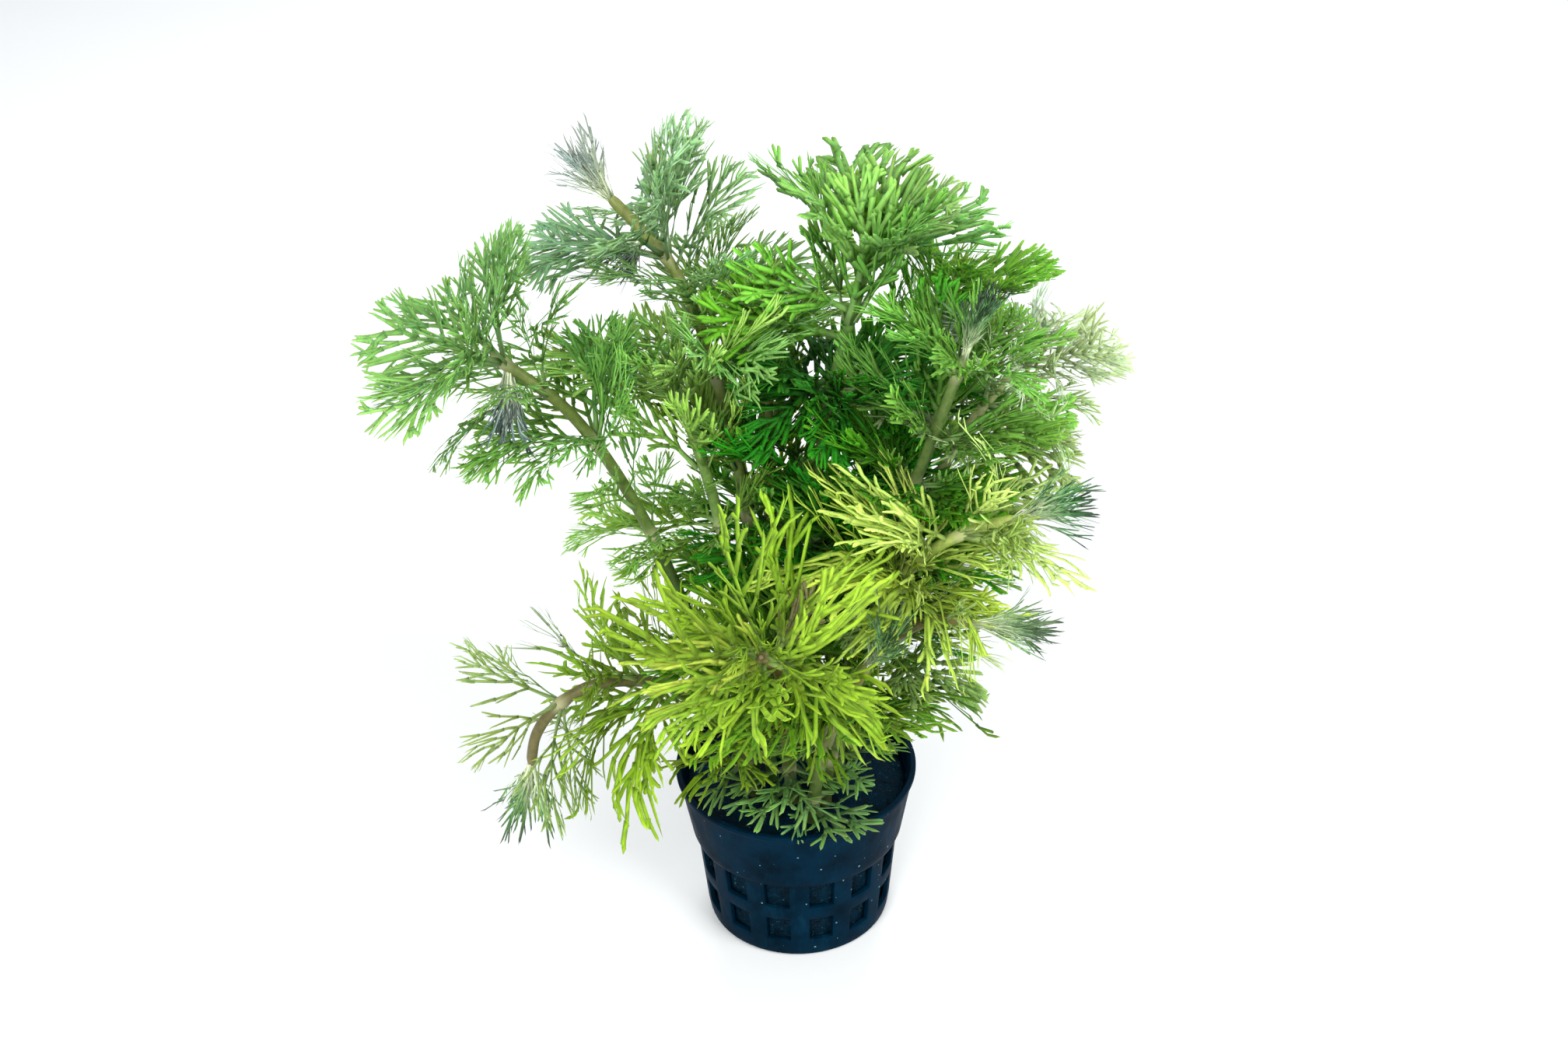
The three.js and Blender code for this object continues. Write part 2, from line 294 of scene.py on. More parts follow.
# Leaf shapes: flat, feathered and forked, one leaf length long from the stalk's foot at the origin along +X,
# with the upper side to +Z. Every lobe is a thin closed blade, lens-shaped in section, that starts inside
# its parent.
leafKinds = {
    # count: how many different leaves of the kind are grown
    # outline: the blade's oval, in leaf lengths: where its middle is, its half length and its half width
    # stalk, pairs, width: the midrib's bare share, its pairs of lobes, and a lobe's width in leaf lengths
    # spread, fork, twigs: the degrees at which lobes and their twigs leave, and how many twigs each order has
    # curl, lift, sweep: how much lobes curl back in degrees, rise from the blade, and the midrib swings
    # webbing, taper, end: a lobe's width at its foot, what it loses on the way, and its width near the tip
    # longLobe, arch: lobes longer than this get one more bend, and how much the leaf arches
    "fine": {
        "count": 7, "outline": (0.6, 0.42, 0.37), "stalk": 0.24, "pairs": 5, "width": 0.026,
        "spread": 40, "fork": 25, "twigs": (2, 1), "curl": 6, "lift": 0.2,
        "webbing": 1.6, "taper": 0.3, "end": 0.6,
    },
    "plain": {
        "count": 7, "outline": (0.58, 0.44, 0.28), "stalk": 0.2, "pairs": 5, "width": 0.031,
        "spread": 38, "fork": 24, "twigs": (2, 1), "curl": 16, "lift": 0.25,
        "webbing": 1.8, "taper": 0.3, "end": 0.65,
    },
    "broad": {
        "count": 6, "outline": (0.6, 0.42, 0.34), "stalk": 0.2, "pairs": 4, "width": 0.035,
        "spread": 36, "fork": 25, "twigs": (2, 1), "curl": 12, "lift": 0.2,
        "webbing": 1.8, "taper": 0.1, "end": 0.85,
    },
    "comb": {
        "count": 8, "outline": (0.58, 0.46, 0.36), "stalk": 0.17, "pairs": 5, "width": 0.027,
        "spread": 58, "fork": 34, "twigs": (2, 0), "curl": 60, "lift": 0.4, "sweep": 60,
        "webbing": 1.8, "taper": 0.05, "end": 0.95, "longLobe": 0.15, "arch": (0.02, 0.4),
    },
    "airy": {
        "count": 5, "outline": (0.58, 0.44, 0.3), "stalk": 0.26, "pairs": 4, "width": 0.02,
        "spread": 34, "fork": 22, "twigs": (2, 0), "curl": 12, "lift": 0.3,
        "webbing": 1.5, "taper": 0.3, "end": 0.6,
    },
    "small": {
        "count": 5, "outline": (0.62, 0.4, 0.4), "stalk": 0.34, "pairs": 2, "width": 0.056,
        "spread": 52, "fork": 26, "twigs": (1, 0), "curl": 14, "lift": 0.2,
        "webbing": 1.7, "taper": 0.1, "end": 0.8,
    },
    "closed": {
        "count": 5, "outline": (0.55, 0.46, 0.12), "stalk": 0.2, "pairs": 3, "width": 0.026,
        "spread": 17, "fork": 14, "twigs": (1, 0), "curl": 6, "lift": 0.25,
        "webbing": 1.4, "taper": 0.35, "end": 0.6,
    },
}
# How every leaf grows, whatever its kind: places as shares of a lobe's length, widths in its kind's widths,
# and angles in degrees.
growth = {
    "stalkThickness": 0.4,  # of the width there
    "bladeThickness": 0.16,
    "lastPair": 0.84,
    "pairSpacing": 0.95,  # under 1, the lower pairs stand further apart
    "midribFoot": 2.1,
    "midribStalk": (0.6, 1.5),  # where, and how wide
    "midribPair": (1.6, 0.8),  # how wide at the stalk, and what it loses to the tip
    "midribEnd": (0.93, 0.7),
    "leastTwig": 0.075,  # a lobe has at most its length over this in twigs
    "twigFrom": 0.26,
    "twigRun": 0.4,
    "lobeFoot": 0.18,
    "lobeWidth": 1.1,
    "lobeBend": (0.78, 0.5),  # where a long lobe bends once more, and how much of its taper it has lost
    "lobeEnd": 0.9,
    "stray": 11,
    "opening": (1.2, 0.5),  # of the spread at the stalk, and what the upper lobes lose of it
    "angleChance": (0.8, 1.2),
    "liftChance": (-0.6, 1),
    "roll": 20,
    "reachChance": (0.82, 1.12),
    "shorter": 0.75,  # how much shorter the lobes near a tip must stay
    "leastLobe": 0.05,
    "tipEdge": 0.6,
    "arch": (0, 0.13),
    "droop": 0.5,
    "cup": (-0.2, 0.7),
}


def reachOf(outline, place, heading):
    # how far it is from a place to the blade's outline along a heading
    middle, halfLength, halfWidth = outline
    px, py = (place.x - middle) / halfLength, place.y / halfWidth
    hx, hy = heading.x / halfLength, heading.y / halfWidth
    a, b, c = hx * hx + hy * hy, px * hx + py * hy, px * px + py * py - 1
    return (-b + math.sqrt(max(b * b - a * c, 0))) / a


def midribStations(kind):
    # where the midrib's pairs of lobes leave it, and its stations
    width, stalk, pairs = kind["width"], kind["stalk"], kind["pairs"]
    last, spacing = growth["lastPair"], growth["pairSpacing"]
    sprouts = [stalk + (last - stalk) * (k / pairs) ** spacing for k in range(pairs)]
    share, wide = growth["midribStalk"]
    most, loss = growth["midribPair"]
    stations = [(0, growth["midribFoot"] * width), (share * stalk, wide * width)]
    stations += [(t, (most - loss * t) * width) for t in sprouts]
    share, wide = growth["midribEnd"]
    return sprouts, [(1, -1)] * len(sprouts), stations + [(share, wide * width)]


def lobeStations(kind, length, order, rng):
    # where a lobe's twigs leave it, left and right by turns, and its stations
    width, taper = kind["width"], kind["taper"]
    count = kind["twigs"][order - 1] if order <= len(kind["twigs"]) else 0
    count = min(count, int(length / growth["leastTwig"]))
    sprouts = [growth["twigFrom"] + growth["twigRun"] * k / max(count - 1, 1) for k in range(count)]
    first = rng.choice((1, -1))
    stations = [(0, kind["webbing"] * width), (growth["lobeFoot"], width)]
    stations += [(t, (growth["lobeWidth"] - taper * t) * width) for t in sprouts]
    if length > kind.get("longLobe", 1):
        share, lost = growth["lobeBend"]
        stations.append((share, (1 - lost * taper) * width))
    stations.append((growth["lobeEnd"], kind["end"] * width))
    return sprouts, [(first * (-1) ** k,) for k in range(count)], stations


def growLobe(sheet, place, heading, normal, length, order, kind, rng, hand=0):
    # a blade through its stations, each a share of its length and a width, with side lobes from some of them
    if order == 0:
        sprouts, sides, stations = midribStations(kind)
        stray = kind.get("sweep", growth["stray"])
    else:
        sprouts, sides, stations = lobeStations(kind, length, order, rng)
        stray = growth["stray"]
    bend = math.radians(rng.uniform(-stray, stray) - hand * kind["curl"]) / len(stations)
    last, past = None, 0
    for share, breadth in stations:
        heading = (Matrix.Rotation(bend, 3, normal) @ heading).normalized()
        place = place + heading * (share - past) * length
        past = share
        thickness = growth["stalkThickness" if order == 0 and share < kind["stalk"] else "bladeThickness"]
        side = normal.cross(heading).normalized() * breadth / 2
        rise = normal * breadth / 2 * thickness
        now = [len(sheet["points"]) + k for k in range(4)]
        sheet["points"] += [place + side, place + rise, place - side, place - rise]
        sheet["edge"] += [1, 0, 1, 0]
        if last:
            sheet["faces"] += [(last[k - 1], last[k], now[k], now[k - 1]) for k in range(4)]
        else:
            sheet["faces"].append((now[0], now[3], now[2], now[1]))
        last = now
        for sign in sides[sprouts.index(share)] if share in sprouts else ():
            opening, loss = growth["opening"]
            angle = kind["spread"] * (opening - loss * share) if order == 0 else kind["fork"]
            swing = Matrix.Rotation(math.radians(sign * angle * rng.uniform(*growth["angleChance"])), 3,
                                    normal)
            lift = normal * rng.uniform(*growth["liftChance"]) * kind["lift"]
            lobeHeading = (swing @ heading + lift).normalized()
            roll = math.radians(rng.uniform(-growth["roll"], growth["roll"]))
            lobeNormal = Matrix.Rotation(roll, 3, lobeHeading) @ normal
            reach = reachOf(kind["outline"], place, lobeHeading) * rng.uniform(*growth["reachChance"])
            reach = max(min(reach, (1 - growth["shorter"] * share) * length), growth["leastLobe"])
            growLobe(sheet, place, lobeHeading, lobeNormal, reach, order + 1, kind, rng, sign)
    tip = len(sheet["points"])
    sheet["points"].append(place + heading * (1 - past) * length)
    sheet["edge"].append(growth["tipEdge"])
    sheet["faces"] += [(last[k - 1], last[k], tip) for k in range(4)]


def leafShape(kind, seed):
    rng = random.Random(seed)
    arch = rng.uniform(*kind.get("arch", growth["arch"]))
    cup = rng.uniform(*growth["cup"])
    sheet = {"points": [], "faces": [], "edge": []}
    growLobe(sheet, Vector((0, 0, 0)), Vector((1, 0, 0)), up.copy(), 1, 0, kind, rng)
    along = [min(p.length, 1) for p in sheet["points"]]
    for p, s in zip(sheet["points"], along):
        # arched along, and cupped across
        p.z += arch * (4 * s * (1 - s)) - growth["droop"] * arch * s * s + cup * p.y * p.y
    return sheet, along


shapeRange = {}  # kind -> its first shape and how many it has
shapes = bpy.data.collections.new("leafShapes")
for kindName, kind in leafKinds.items():
    shapeRange[kindName] = (len(shapes.objects), kind["count"])
    for k in range(kind["count"]):
        sheet, along = leafShape(kind, 100 * len(shapeRange) + k)
        name = f"leafShape{len(shapes.objects):02d}"
        attributes = {"along": ("FLOAT", along), "edge": ("FLOAT", sheet["edge"])}
        shapeMesh = newMesh(name, sheet["points"], sheet["faces"], attributes)
        shapes.objects.link(bpy.data.objects.new(name, shapeMesh))


# Geometry Nodes: trees are built here, run on a start mesh, and leave a plain mesh behind.
def newTree(name, inputs):
    # an empty tree with a named input for everything that sizes it
    tree = bpy.data.node_groups.new(name, "GeometryNodeTree")
    tree.interface.new_socket("Geometry", in_out="INPUT", socket_type="NodeSocketGeometry")
    for label, kind in inputs.items():
        tree.interface.new_socket(label, in_out="INPUT", socket_type="NodeSocket" + kind)
    tree.interface.new_socket("Geometry", in_out="OUTPUT", socket_type="NodeSocketGeometry")
    return tree, addNode(tree, "NodeGroupInput").outputs


def endTree(tree, geometry, material):
    # every tree ends the same way, because only real mesh is kept
    real = addNode(tree, "GeometryNodeRealizeInstances", {0: geometry})
    painted = addNode(tree, "GeometryNodeSetMaterial", {"Geometry": real, "Material": material})
    addNode(tree, "NodeGroupOutput", {0: painted})


def runTree(name, start, tree, values, drop=()):
    # runs a tree on a start mesh, takes the mesh that comes out, and forgets what only the tree needed
    holder = newObject(name + "Start", start)
    modifier = holder.modifiers.new("nodes", "NODES")
    modifier.node_group = tree
    for item in tree.interface.items_tree:
        if item.in_out == "INPUT" and item.name in values:
            modifier[item.identifier] = values[item.name]
    result = bpy.data.meshes.new_from_object(holder.evaluated_get(bpy.context.evaluated_depsgraph_get()))
    bpy.data.objects.remove(holder)
    for key in drop:
        if key in result.attributes:
            result.attributes.remove(result.attributes[key])
    return newObject(name, result)


def dress(piece, slot, *nodes):
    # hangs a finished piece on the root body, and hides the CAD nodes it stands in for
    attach(piece, "root")
    if nodes:
        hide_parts(*nodes)
    return piece


# Leaf blade: a soft leaf grown above water, with hardly any wax. It is satin rather than glossy, lets some
# light through, and is paler along the edges than over the vein. From its foot to the tips of its lobes it
# goes from dark to pale: partly the tips' own paler green, partly painted shade deep in the whorl.
leafLook = {
    "mottle": 2.5 * mm,  # size of the pale and dark patches in one leaf
    "ridge": 0.35 * mm,  # spacing of the fine ridges; the real ones are half of it and would not show
    "bloom": "#cfe0a8",  # what the stalk's foot fades towards
}
leafBlade, leafTree, leafShader = newMaterial("softLeafBlade", IOR=1.38, Specular_IOR_Level=0.09,
                                              Subsurface_Weight=0.3, Subsurface_Radius=(0.7, 1, 0.1),
                                              Subsurface_Scale=1 * mm)
leafPlace = addNode(leafTree, "ShaderNodeTexCoord").outputs["Object"]
leafTone = addNode(leafTree, "ShaderNodeAttribute", attribute_name="tone").outputs["Color"]
leafAlong = addNode(leafTree, "ShaderNodeAttribute", attribute_name="along").outputs["Fac"]
leafEdge = addNode(leafTree, "ShaderNodeAttribute", attribute_name="edge").outputs["Fac"]
leafMottle = addNode(leafTree, "ShaderNodeTexNoise", {"Vector": leafPlace},
                     {"Scale": 1 / leafLook["mottle"], "Detail": 2})
leafPatch = addNode(leafTree, "ShaderNodeMapRange", {"Value": leafMottle},
                    {"From Min": 0.35, "From Max": 0.65, "To Min": 0.75, "To Max": 1.2})
# painted shade: darker towards each leaf's foot and paler at its tips, partly the tips' own paler green
leafShadeToTip = addNode(leafTree, "ShaderNodeMapRange", {"Value": leafAlong},
                    {"From Min": 0.3, "From Max": 1, "To Min": 0.62, "To Max": 1.28})
leafToEdge = addNode(leafTree, "ShaderNodeMapRange", {"Value": leafEdge},
                     {"From Min": 0.4, "From Max": 1, "To Min": 0.85, "To Max": 1.2})
# the mottle times that painted shade towards the foot
leafPatchAndShade = addNode(leafTree, "ShaderNodeMath", {0: leafPatch.outputs[0], 1: leafShadeToTip.outputs[0]},
                  operation="MULTIPLY")
leafValue = addNode(leafTree, "ShaderNodeMath", {0: leafPatchAndShade, 1: leafToEdge.outputs[0]}, operation="MULTIPLY")
leafPatched = addNode(leafTree, "ShaderNodeHueSaturation", {"Color": leafTone, "Value": leafValue})
leafToBloom = addNode(leafTree, "ShaderNodeMapRange", {"Value": leafAlong},
                      {"From Min": 0.24, "From Max": 0, "To Min": 0.03, "To Max": 0.4})
leafFaded = addNode(leafTree, "ShaderNodeMix", {"Factor": leafToBloom.outputs[0], 6: leafPatched},
                    {7: linear(leafLook["bloom"])}, data_type="RGBA")
leafTree.links.new(leafFaded.outputs[2], leafShader.inputs["Base Color"])
leafShine = addNode(leafTree, "ShaderNodeMapRange", {"Value": leafMottle},
                    {"From Min": 0.3, "From Max": 0.7, "To Min": 0.44, "To Max": 0.62})
leafTree.links.new(leafShine.outputs[0], leafShader.inputs["Roughness"])
leafRidges = addNode(leafTree, "ShaderNodeTexNoise", {"Vector": leafPlace},
                     {"Scale": 1 / leafLook["ridge"], "Detail": 3})
leafRidgeBump = addNode(leafTree, "ShaderNodeBump", {"Height": leafRidges},
                        {"Strength": 0.3, "Distance": 0.12 * mm})
leafTree.links.new(leafRidgeBump.outputs[0], leafShader.inputs["Normal"])

# Wet closed leaves: young leaves still folded round the shoot's tip and stuck together by water. Pale where
# they leave the stem, then green, and nearly black with a purple cast at the soaked tips, with a glossy film.
budLook = {"pale": "#dfe8c0", "soaked": "#1e1c24", "patch": 1.6 * mm}
budLeaf, budTree, budShader = newMaterial("wetClosedLeaf", IOR=1.38, Coat_Weight=0.35, Coat_Roughness=0.12)
budAlong = addNode(budTree, "ShaderNodeAttribute", attribute_name="along").outputs["Fac"]
budEdge = addNode(budTree, "ShaderNodeAttribute", attribute_name="edge").outputs["Fac"]
budPlace = addNode(budTree, "ShaderNodeTexCoord").outputs["Object"]
budNoise = addNode(budTree, "ShaderNodeTexNoise", {"Vector": budPlace},
                   {"Scale": 1 / budLook["patch"], "Detail": 3})
budShift = addNode(budTree, "ShaderNodeMapRange", {"Value": budNoise},
                   {"From Min": 0.3, "From Max": 0.7, "To Min": -0.13, "To Max": 0.13})
budRun = addNode(budTree, "ShaderNodeMath", {0: budAlong, 1: budShift.outputs[0]}, operation="ADD",
                 use_clamp=True)
budTone = addNode(budTree, "ShaderNodeAttribute", attribute_name="tone").outputs["Color"]
budFoot = addNode(budTree, "ShaderNodeMapRange", {"Value": budRun},
                  {"From Min": 0.65, "From Max": 0.15, "To Min": 0, "To Max": 0.9})
budEnd = addNode(budTree, "ShaderNodeMapRange", {"Value": budRun},
                 {"From Min": 0.55, "From Max": 0.92, "To Min": 0, "To Max": 1})
budGreen = addNode(budTree, "ShaderNodeMix", {"Factor": budFoot.outputs[0], 6: budTone},
                   {7: linear(budLook["pale"])}, data_type="RGBA")
budWet = addNode(budTree, "ShaderNodeAttribute", attribute_name="wet").outputs["Fac"]
budSoaked = addNode(budTree, "ShaderNodeMath", {0: budEnd.outputs[0], 1: budWet}, operation="MULTIPLY")
budDark = addNode(budTree, "ShaderNodeMix", {"Factor": budSoaked, 6: budGreen.outputs[2]},
                  {7: linear(budLook["soaked"])}, data_type="RGBA")
budPale = addNode(budTree, "ShaderNodeMapRange", {"Value": budEdge},
                  {"From Min": 0.4, "From Max": 1, "To Min": 0.65, "To Max": 1.9})
budColour = addNode(budTree, "ShaderNodeHueSaturation",
                    {"Color": budDark.outputs[2], "Value": budPale.outputs[0]})
budTree.links.new(budColour.outputs[0], budShader.inputs["Base Color"])
budShine = addNode(budTree, "ShaderNodeMapRange", {"Value": budNoise},
                   {"From Min": 0.3, "From Max": 0.7, "To Min": 0.22, "To Max": 0.5})
budTree.links.new(budShine.outputs[0], budShader.inputs["Roughness"])
budBump = addNode(budTree, "ShaderNodeBump", {"Height": budNoise}, {"Strength": 0.4, "Distance": 0.2 * mm})
budTree.links.new(budBump.outputs[0], budShader.inputs["Normal"])

# Foliage tree: each point carries a leaf's aim, upper side, length and shape.
foliageInputs = {"Shapes": "Collection", "Leaf scale": "Float", "Ripple": "Float", "Ripple size": "Float"}
foliageInputs.update({"Seed": "Int", "Material": "Material"})
foliageTree, given = newTree("foliage", foliageInputs)
pointKinds = {"aim": "FLOAT_VECTOR", "face": "FLOAT_VECTOR", "size": "FLOAT", "shape": "INT"}
stored = {}
for key, kind in {**pointKinds, "along": "FLOAT"}.items():
    reader = addNode(foliageTree, "GeometryNodeInputNamedAttribute", values={"Name": key}, data_type=kind)
    stored[key] = reader.outputs["Attribute"]
leafPool = addNode(foliageTree, "GeometryNodeCollectionInfo", {"Collection": given["Shapes"]},
                   {"Separate Children": True, "Reset Children": True})
leafTurn = addNode(foliageTree, "FunctionNodeAxesToRotation",
                   {"Primary Axis": stored["aim"], "Secondary Axis": stored["face"]},
                   primary_axis="X", secondary_axis="Z")
leafSize = addNode(foliageTree, "ShaderNodeMath", {0: stored["size"], 1: given["Leaf scale"]},
                   operation="MULTIPLY")
planted = addNode(foliageTree, "GeometryNodeInstanceOnPoints",
                  {"Points": given["Geometry"], "Instance": leafPool, "Instance Index": stored["shape"],
                   "Rotation": leafTurn, "Scale": leafSize}, {"Pick Instance": True})
grown = addNode(foliageTree, "GeometryNodeRealizeInstances", {0: planted})
rippleScale = addNode(foliageTree, "ShaderNodeMath", {1: given["Ripple size"]}, {0: 1}, operation="DIVIDE")
rippleAt = addNode(foliageTree, "GeometryNodeInputPosition")
ripple = addNode(foliageTree, "ShaderNodeTexNoise",
                 {"Vector": rippleAt, "W": given["Seed"], "Scale": rippleScale}, {"Detail": 1},
                 noise_dimensions="4D")
rippleMiddle = addNode(foliageTree, "ShaderNodeVectorMath", {0: ripple.outputs["Color"]},
                       {1: (0.5, 0.5, 0.5)}, operation="SUBTRACT")
rippleReach = addNode(foliageTree, "ShaderNodeMath", {0: stored["along"], 1: given["Ripple"]},
                      operation="MULTIPLY")
rippleMove = addNode(foliageTree, "ShaderNodeVectorMath", {0: rippleMiddle, "Scale": rippleReach},
                     operation="SCALE")
rippled = addNode(foliageTree, "GeometryNodeSetPosition", {"Geometry": grown, "Offset": rippleMove})
endTree(foliageTree, rippled, given["Material"])

# Each shoot's leaves: the kind of leaf and its green, whorl by whorl from the lowest. The lower whorls'
# darker greens are partly the older leaves' own green and partly painted shade under the leaves above.
foliage = {
    "back_left": [("plain", "#629e38"), ("fine", "#76b058"), ("fine", "#86b67e")],
    "left": [("plain", "#70ac40"), ("fine", "#84bc50"), ("fine", "#68a848"), ("fine", "#72ac58")],
    "middle_left": [("plain", "#60a02c"), ("plain", "#88c040"), ("plain", "#a4d460")],
    "back": [("plain", "#348010"), ("plain", "#50981c"), ("fine", "#84bc50")],
    "crown": [("plain", "#0c7400"), ("plain", "#0c7c00"), ("broad", "#187410"), ("broad", "#78b858")],
    "back_right": [("plain", "#107000"), ("plain", "#208404"), ("plain", "#60a82c")],
    "right": [("plain", "#1c7c04"), ("plain", "#489814"), ("plain", "#6cb040")],
    "far_right": [("plain", "#70a83c"), ("fine", "#a4c47c"), ("fine", "#c4dca8")],
    "low_right": [("plain", "#64943c"), ("comb", "#bce04c"), ("comb", "#c0e070")],
    "arching_right": [("small", "#48783c"), ("plain", "#789c4c")],
    "front": [("small", "#4c7c38"), ("comb", "#447c08"), ("comb", "#88b428")],
    "arching_left": [("small", "#48783c"), ("comb", "#78a41c"), ("airy", "#94b868")],
    "front_right": [("small", "#44743c"), ("comb", "#3c7418")],
}
# The CAD's whorls that stay small or open, with the share of the length their leaves keep.
trimmed = {
    "leaves_left_1": 0.8,
    "leaves_left_2": 0.62,
    "leaves_middle_left_1": 0.85,
    "leaves_middle_left_2": 0.95,
    "leaves_back_left_1": 0.9,
    "leaves_crown_4": 1,
    "leaves_low_right_1": 0.85,
    "leaves_arching_left_3": 1,
    "leaves_front_3": 1.04,
    "leaves_arching_right_2": 0.8,
    "leaves_front_1": 0.62,
    "leaves_front_right_1": 0.62,
    "leaves_arching_left_1": 0.62,
    "leaves_arching_right_1": 0.62,
}
# Planes that rise towards the front, and that these shoots' leaves keep above.
keepAbove = {"front": 42 * mm, "front_right": 42 * mm, "low_right": 80 * mm}
keepAboveSlope = -0.77
# More whorls between the CAD's: how far up the shoot, how many leaves, their kind, green, length and lean.
# the lower whorls' darker greens here are partly their own and partly painted shade under the leaves above
moreWhorls = {
    "back_left": [(0.57, 3, "plain", "#78b04c", 22, 35), (0.8, 6, "fine", "#80b86c", 25, 50)],
    "left": [(0.66, 2, "fine", "#7cb854", 22, 50), (0.9, 5, "fine", "#70ac54", 24, 58)],
    "middle_left": [(0.5, 2, "plain", "#74b038", 24, 30), (0.82, 4, "plain", "#98cc54", 24, 35)],
    "back": [
        (0.3, 5, "plain", "#348410", 25, 35),
        (0.6, 5, "plain", "#3c8c14", 23, 35),
        (0.86, 5, "plain", "#70b43c", 22, 30),
    ],
    "crown": [
        (0.35, 7, "plain", "#0c7404", 27, 50),
        (0.62, 9, "plain", "#0c8804", 28, 68),
        (0.76, 6, "plain", "#1c7c10", 24, 66),
        (0.88, 4, "broad", "#68ac44", 29, 22),
    ],
    "back_right": [
        (0.35, 7, "plain", "#107804", 26, 40),
        (0.62, 8, "plain", "#188c08", 26, 45),
        (0.87, 7, "plain", "#50ac28", 25, 50),
    ],
    "right": [
        (0.3, 7, "plain", "#107404", 25, 40),
        (0.57, 8, "plain", "#34980c", 26, 55),
        (0.84, 8, "plain", "#6cac40", 26, 60),
    ],
    "far_right": [
        (0.4, 6, "plain", "#489c18", 25, 40),
        (0.64, 7, "plain", "#8cc458", 25, 50),
        (0.88, 7, "fine", "#b4d488", 24, 60),
    ],
    "low_right": [(0.5, 5, "comb", "#80a83c", 24, 45), (0.74, 7, "comb", "#cce860", 23, 50)],
    "arching_right": [(0.46, 2, "plain", "#6cac38", 22, 50), (0.88, 3, "airy", "#b0d07c", 19, 45)],
    "front": [
        (0.36, 3, "comb", "#2c6404", 21, 50),
        (0.7, 5, "comb", "#4c8808", 26, 75),
        (0.84, 6, "comb", "#88b424", 27, 66),
    ],
    "arching_left": [
        (0.3, 4, "comb", "#588c0c", 21, 55),
        (0.64, 4, "comb", "#84ac30", 22, 55),
        (0.7, 2, "airy", "#a8bc90", 27, 60),
    ],
    "front_right": [(0.7, 3, "comb", "#3c7c10", 18, 50)],
}
# Single leaves that reach out on their own: how far up the shoot, kind, green, length, and which way.
loneLeaves = {
    "crown": [
        (0.86, "broad", "#74cc2c", 30, (-1, -0.2, 0.36)),
        (0.9, "broad", "#80d03c", 27, (-0.95, -0.3, 0.5)),
        (0.8, "plain", "#109004", 28, (-0.75, -0.75, -0.35)),
        (0.8, "plain", "#0c8404", 26, (-0.1, -0.95, -0.3)),
        (0.95, "broad", "#8cc05c", 29, (0.28, 0, 1)),
        (0.96, "broad", "#98c870", 26, (0.7, -0.1, 0.75)),
        (0.93, "broad", "#84bc54", 28, (0.02, -0.15, 1)),
    ],
    "low_right": [
        (0.7, "comb", "#c4e450", 29, (-0.95, -0.2, 0.3)),
        (0.78, "comb", "#cce85c", 28, (-0.85, -0.2, 0.6)),
        (0.74, "comb", "#bce048", 27, (-0.7, -0.6, 0.4)),
        (0.8, "comb", "#d4f068", 25, (-0.3, -0.4, 0.85)),
        (0.86, "comb", "#c8e45c", 25, (-0.7, -0.1, 0.8)),
        (0.82, "comb", "#cce85c", 27, (-0.6, -0.4, 0.7)),
    ],
    "front": [
        (0.85, "broad", "#8c8050", 18, (0.5, 0.3, 0.85)),
        (0.9, "comb", "#b8d848", 27, (-0.85, -0.3, 0.5)),
        (0.9, "comb", "#a4cc30", 29, (0.85, 0.05, 0.45)),
        (0.22, "small", "#5c8c48", 17, (-0.6, -0.85, 0.02)),
        (0.22, "small", "#547c40", 18, (0.35, -0.95, 0.05)),
        (0.25, "small", "#6c9c50", 17, (-0.15, -0.95, 0.2)),
        (0.86, "comb", "#8cb42c", 26, (0.6, -0.6, -0.3)),
        (0.88, "comb", "#acd038", 28, (-0.95, -0.3, 0.2)),
    ],
    "front_right": [(0.22, "small", "#5c8c50", 16, (0.7, -0.7, 0.1))],
    "back_left": [
        (0.9, "fine", "#88b884", 26, (0.3, 0, 0.95)),
        (0.86, "fine", "#80b070", 28, (0.6, -0.1, 0.75)),
        (0.8, "fine", "#7cac68", 27, (0.85, -0.1, 0.4)),
    ],
}
loneLook = {"stray": 0.6, "backward": 0.7}  # they twist less, and turn their upper side up and to the front
tipLeaves = {"count": 8, "length": (8, 15), "lean": (6, 42)}  # the youngest leaves, at a tip without a bud
filler = {  # leaves between the CAD's own
    "least": 24,  # degrees between two leaves that leave room for one
    "lean": 14,
    "leanChance": (-0.4, 1),
    "size": (0.78, 0.98),
}
unruly = {  # how far a leaf strays, with angles in degrees
    "twist": 42,
    "lean": 12,
    "swing": 18,
    "slide": 1.2 * mm,  # up or down the stem
    "value": 0.34,
    "warmth": (-0.1, 0.06),
    "size": (0.94, 1.06),
    "length": (0.85, 1.1),
}
stemSide = 1.2  # millimetres from the stem's line to where an added leaf starts
leafRipple = {"Leaf scale": 1.0, "Ripple": 8 * mm, "Ripple size": 12 * mm, "Seed": 7}  # the tree's inputs


def newPoints(name, leaves):
    # a start mesh of loose points, one for each leaf
    kinds = {**pointKinds, "tone": "FLOAT_COLOR", "wet": "FLOAT"}
    carried = {key: (kind, [leaf[key] for leaf in leaves]) for key, kind in kinds.items()}
    return newMesh(name, [leaf["root"] for leaf in leaves], [], carried)


def toned(hexColour, rng):
    # the same green a little lighter or darker, warmer or cooler
    value = 1 + rng.uniform(-unruly["value"], unruly["value"])
    warm = rng.uniform(*unruly["warmth"])
    r, g, b, _ = linear(hexColour)
    return (min(r * value * (1 + warm), 1), min(g * value, 1), min(b * value * (1 - warm), 1), 1)


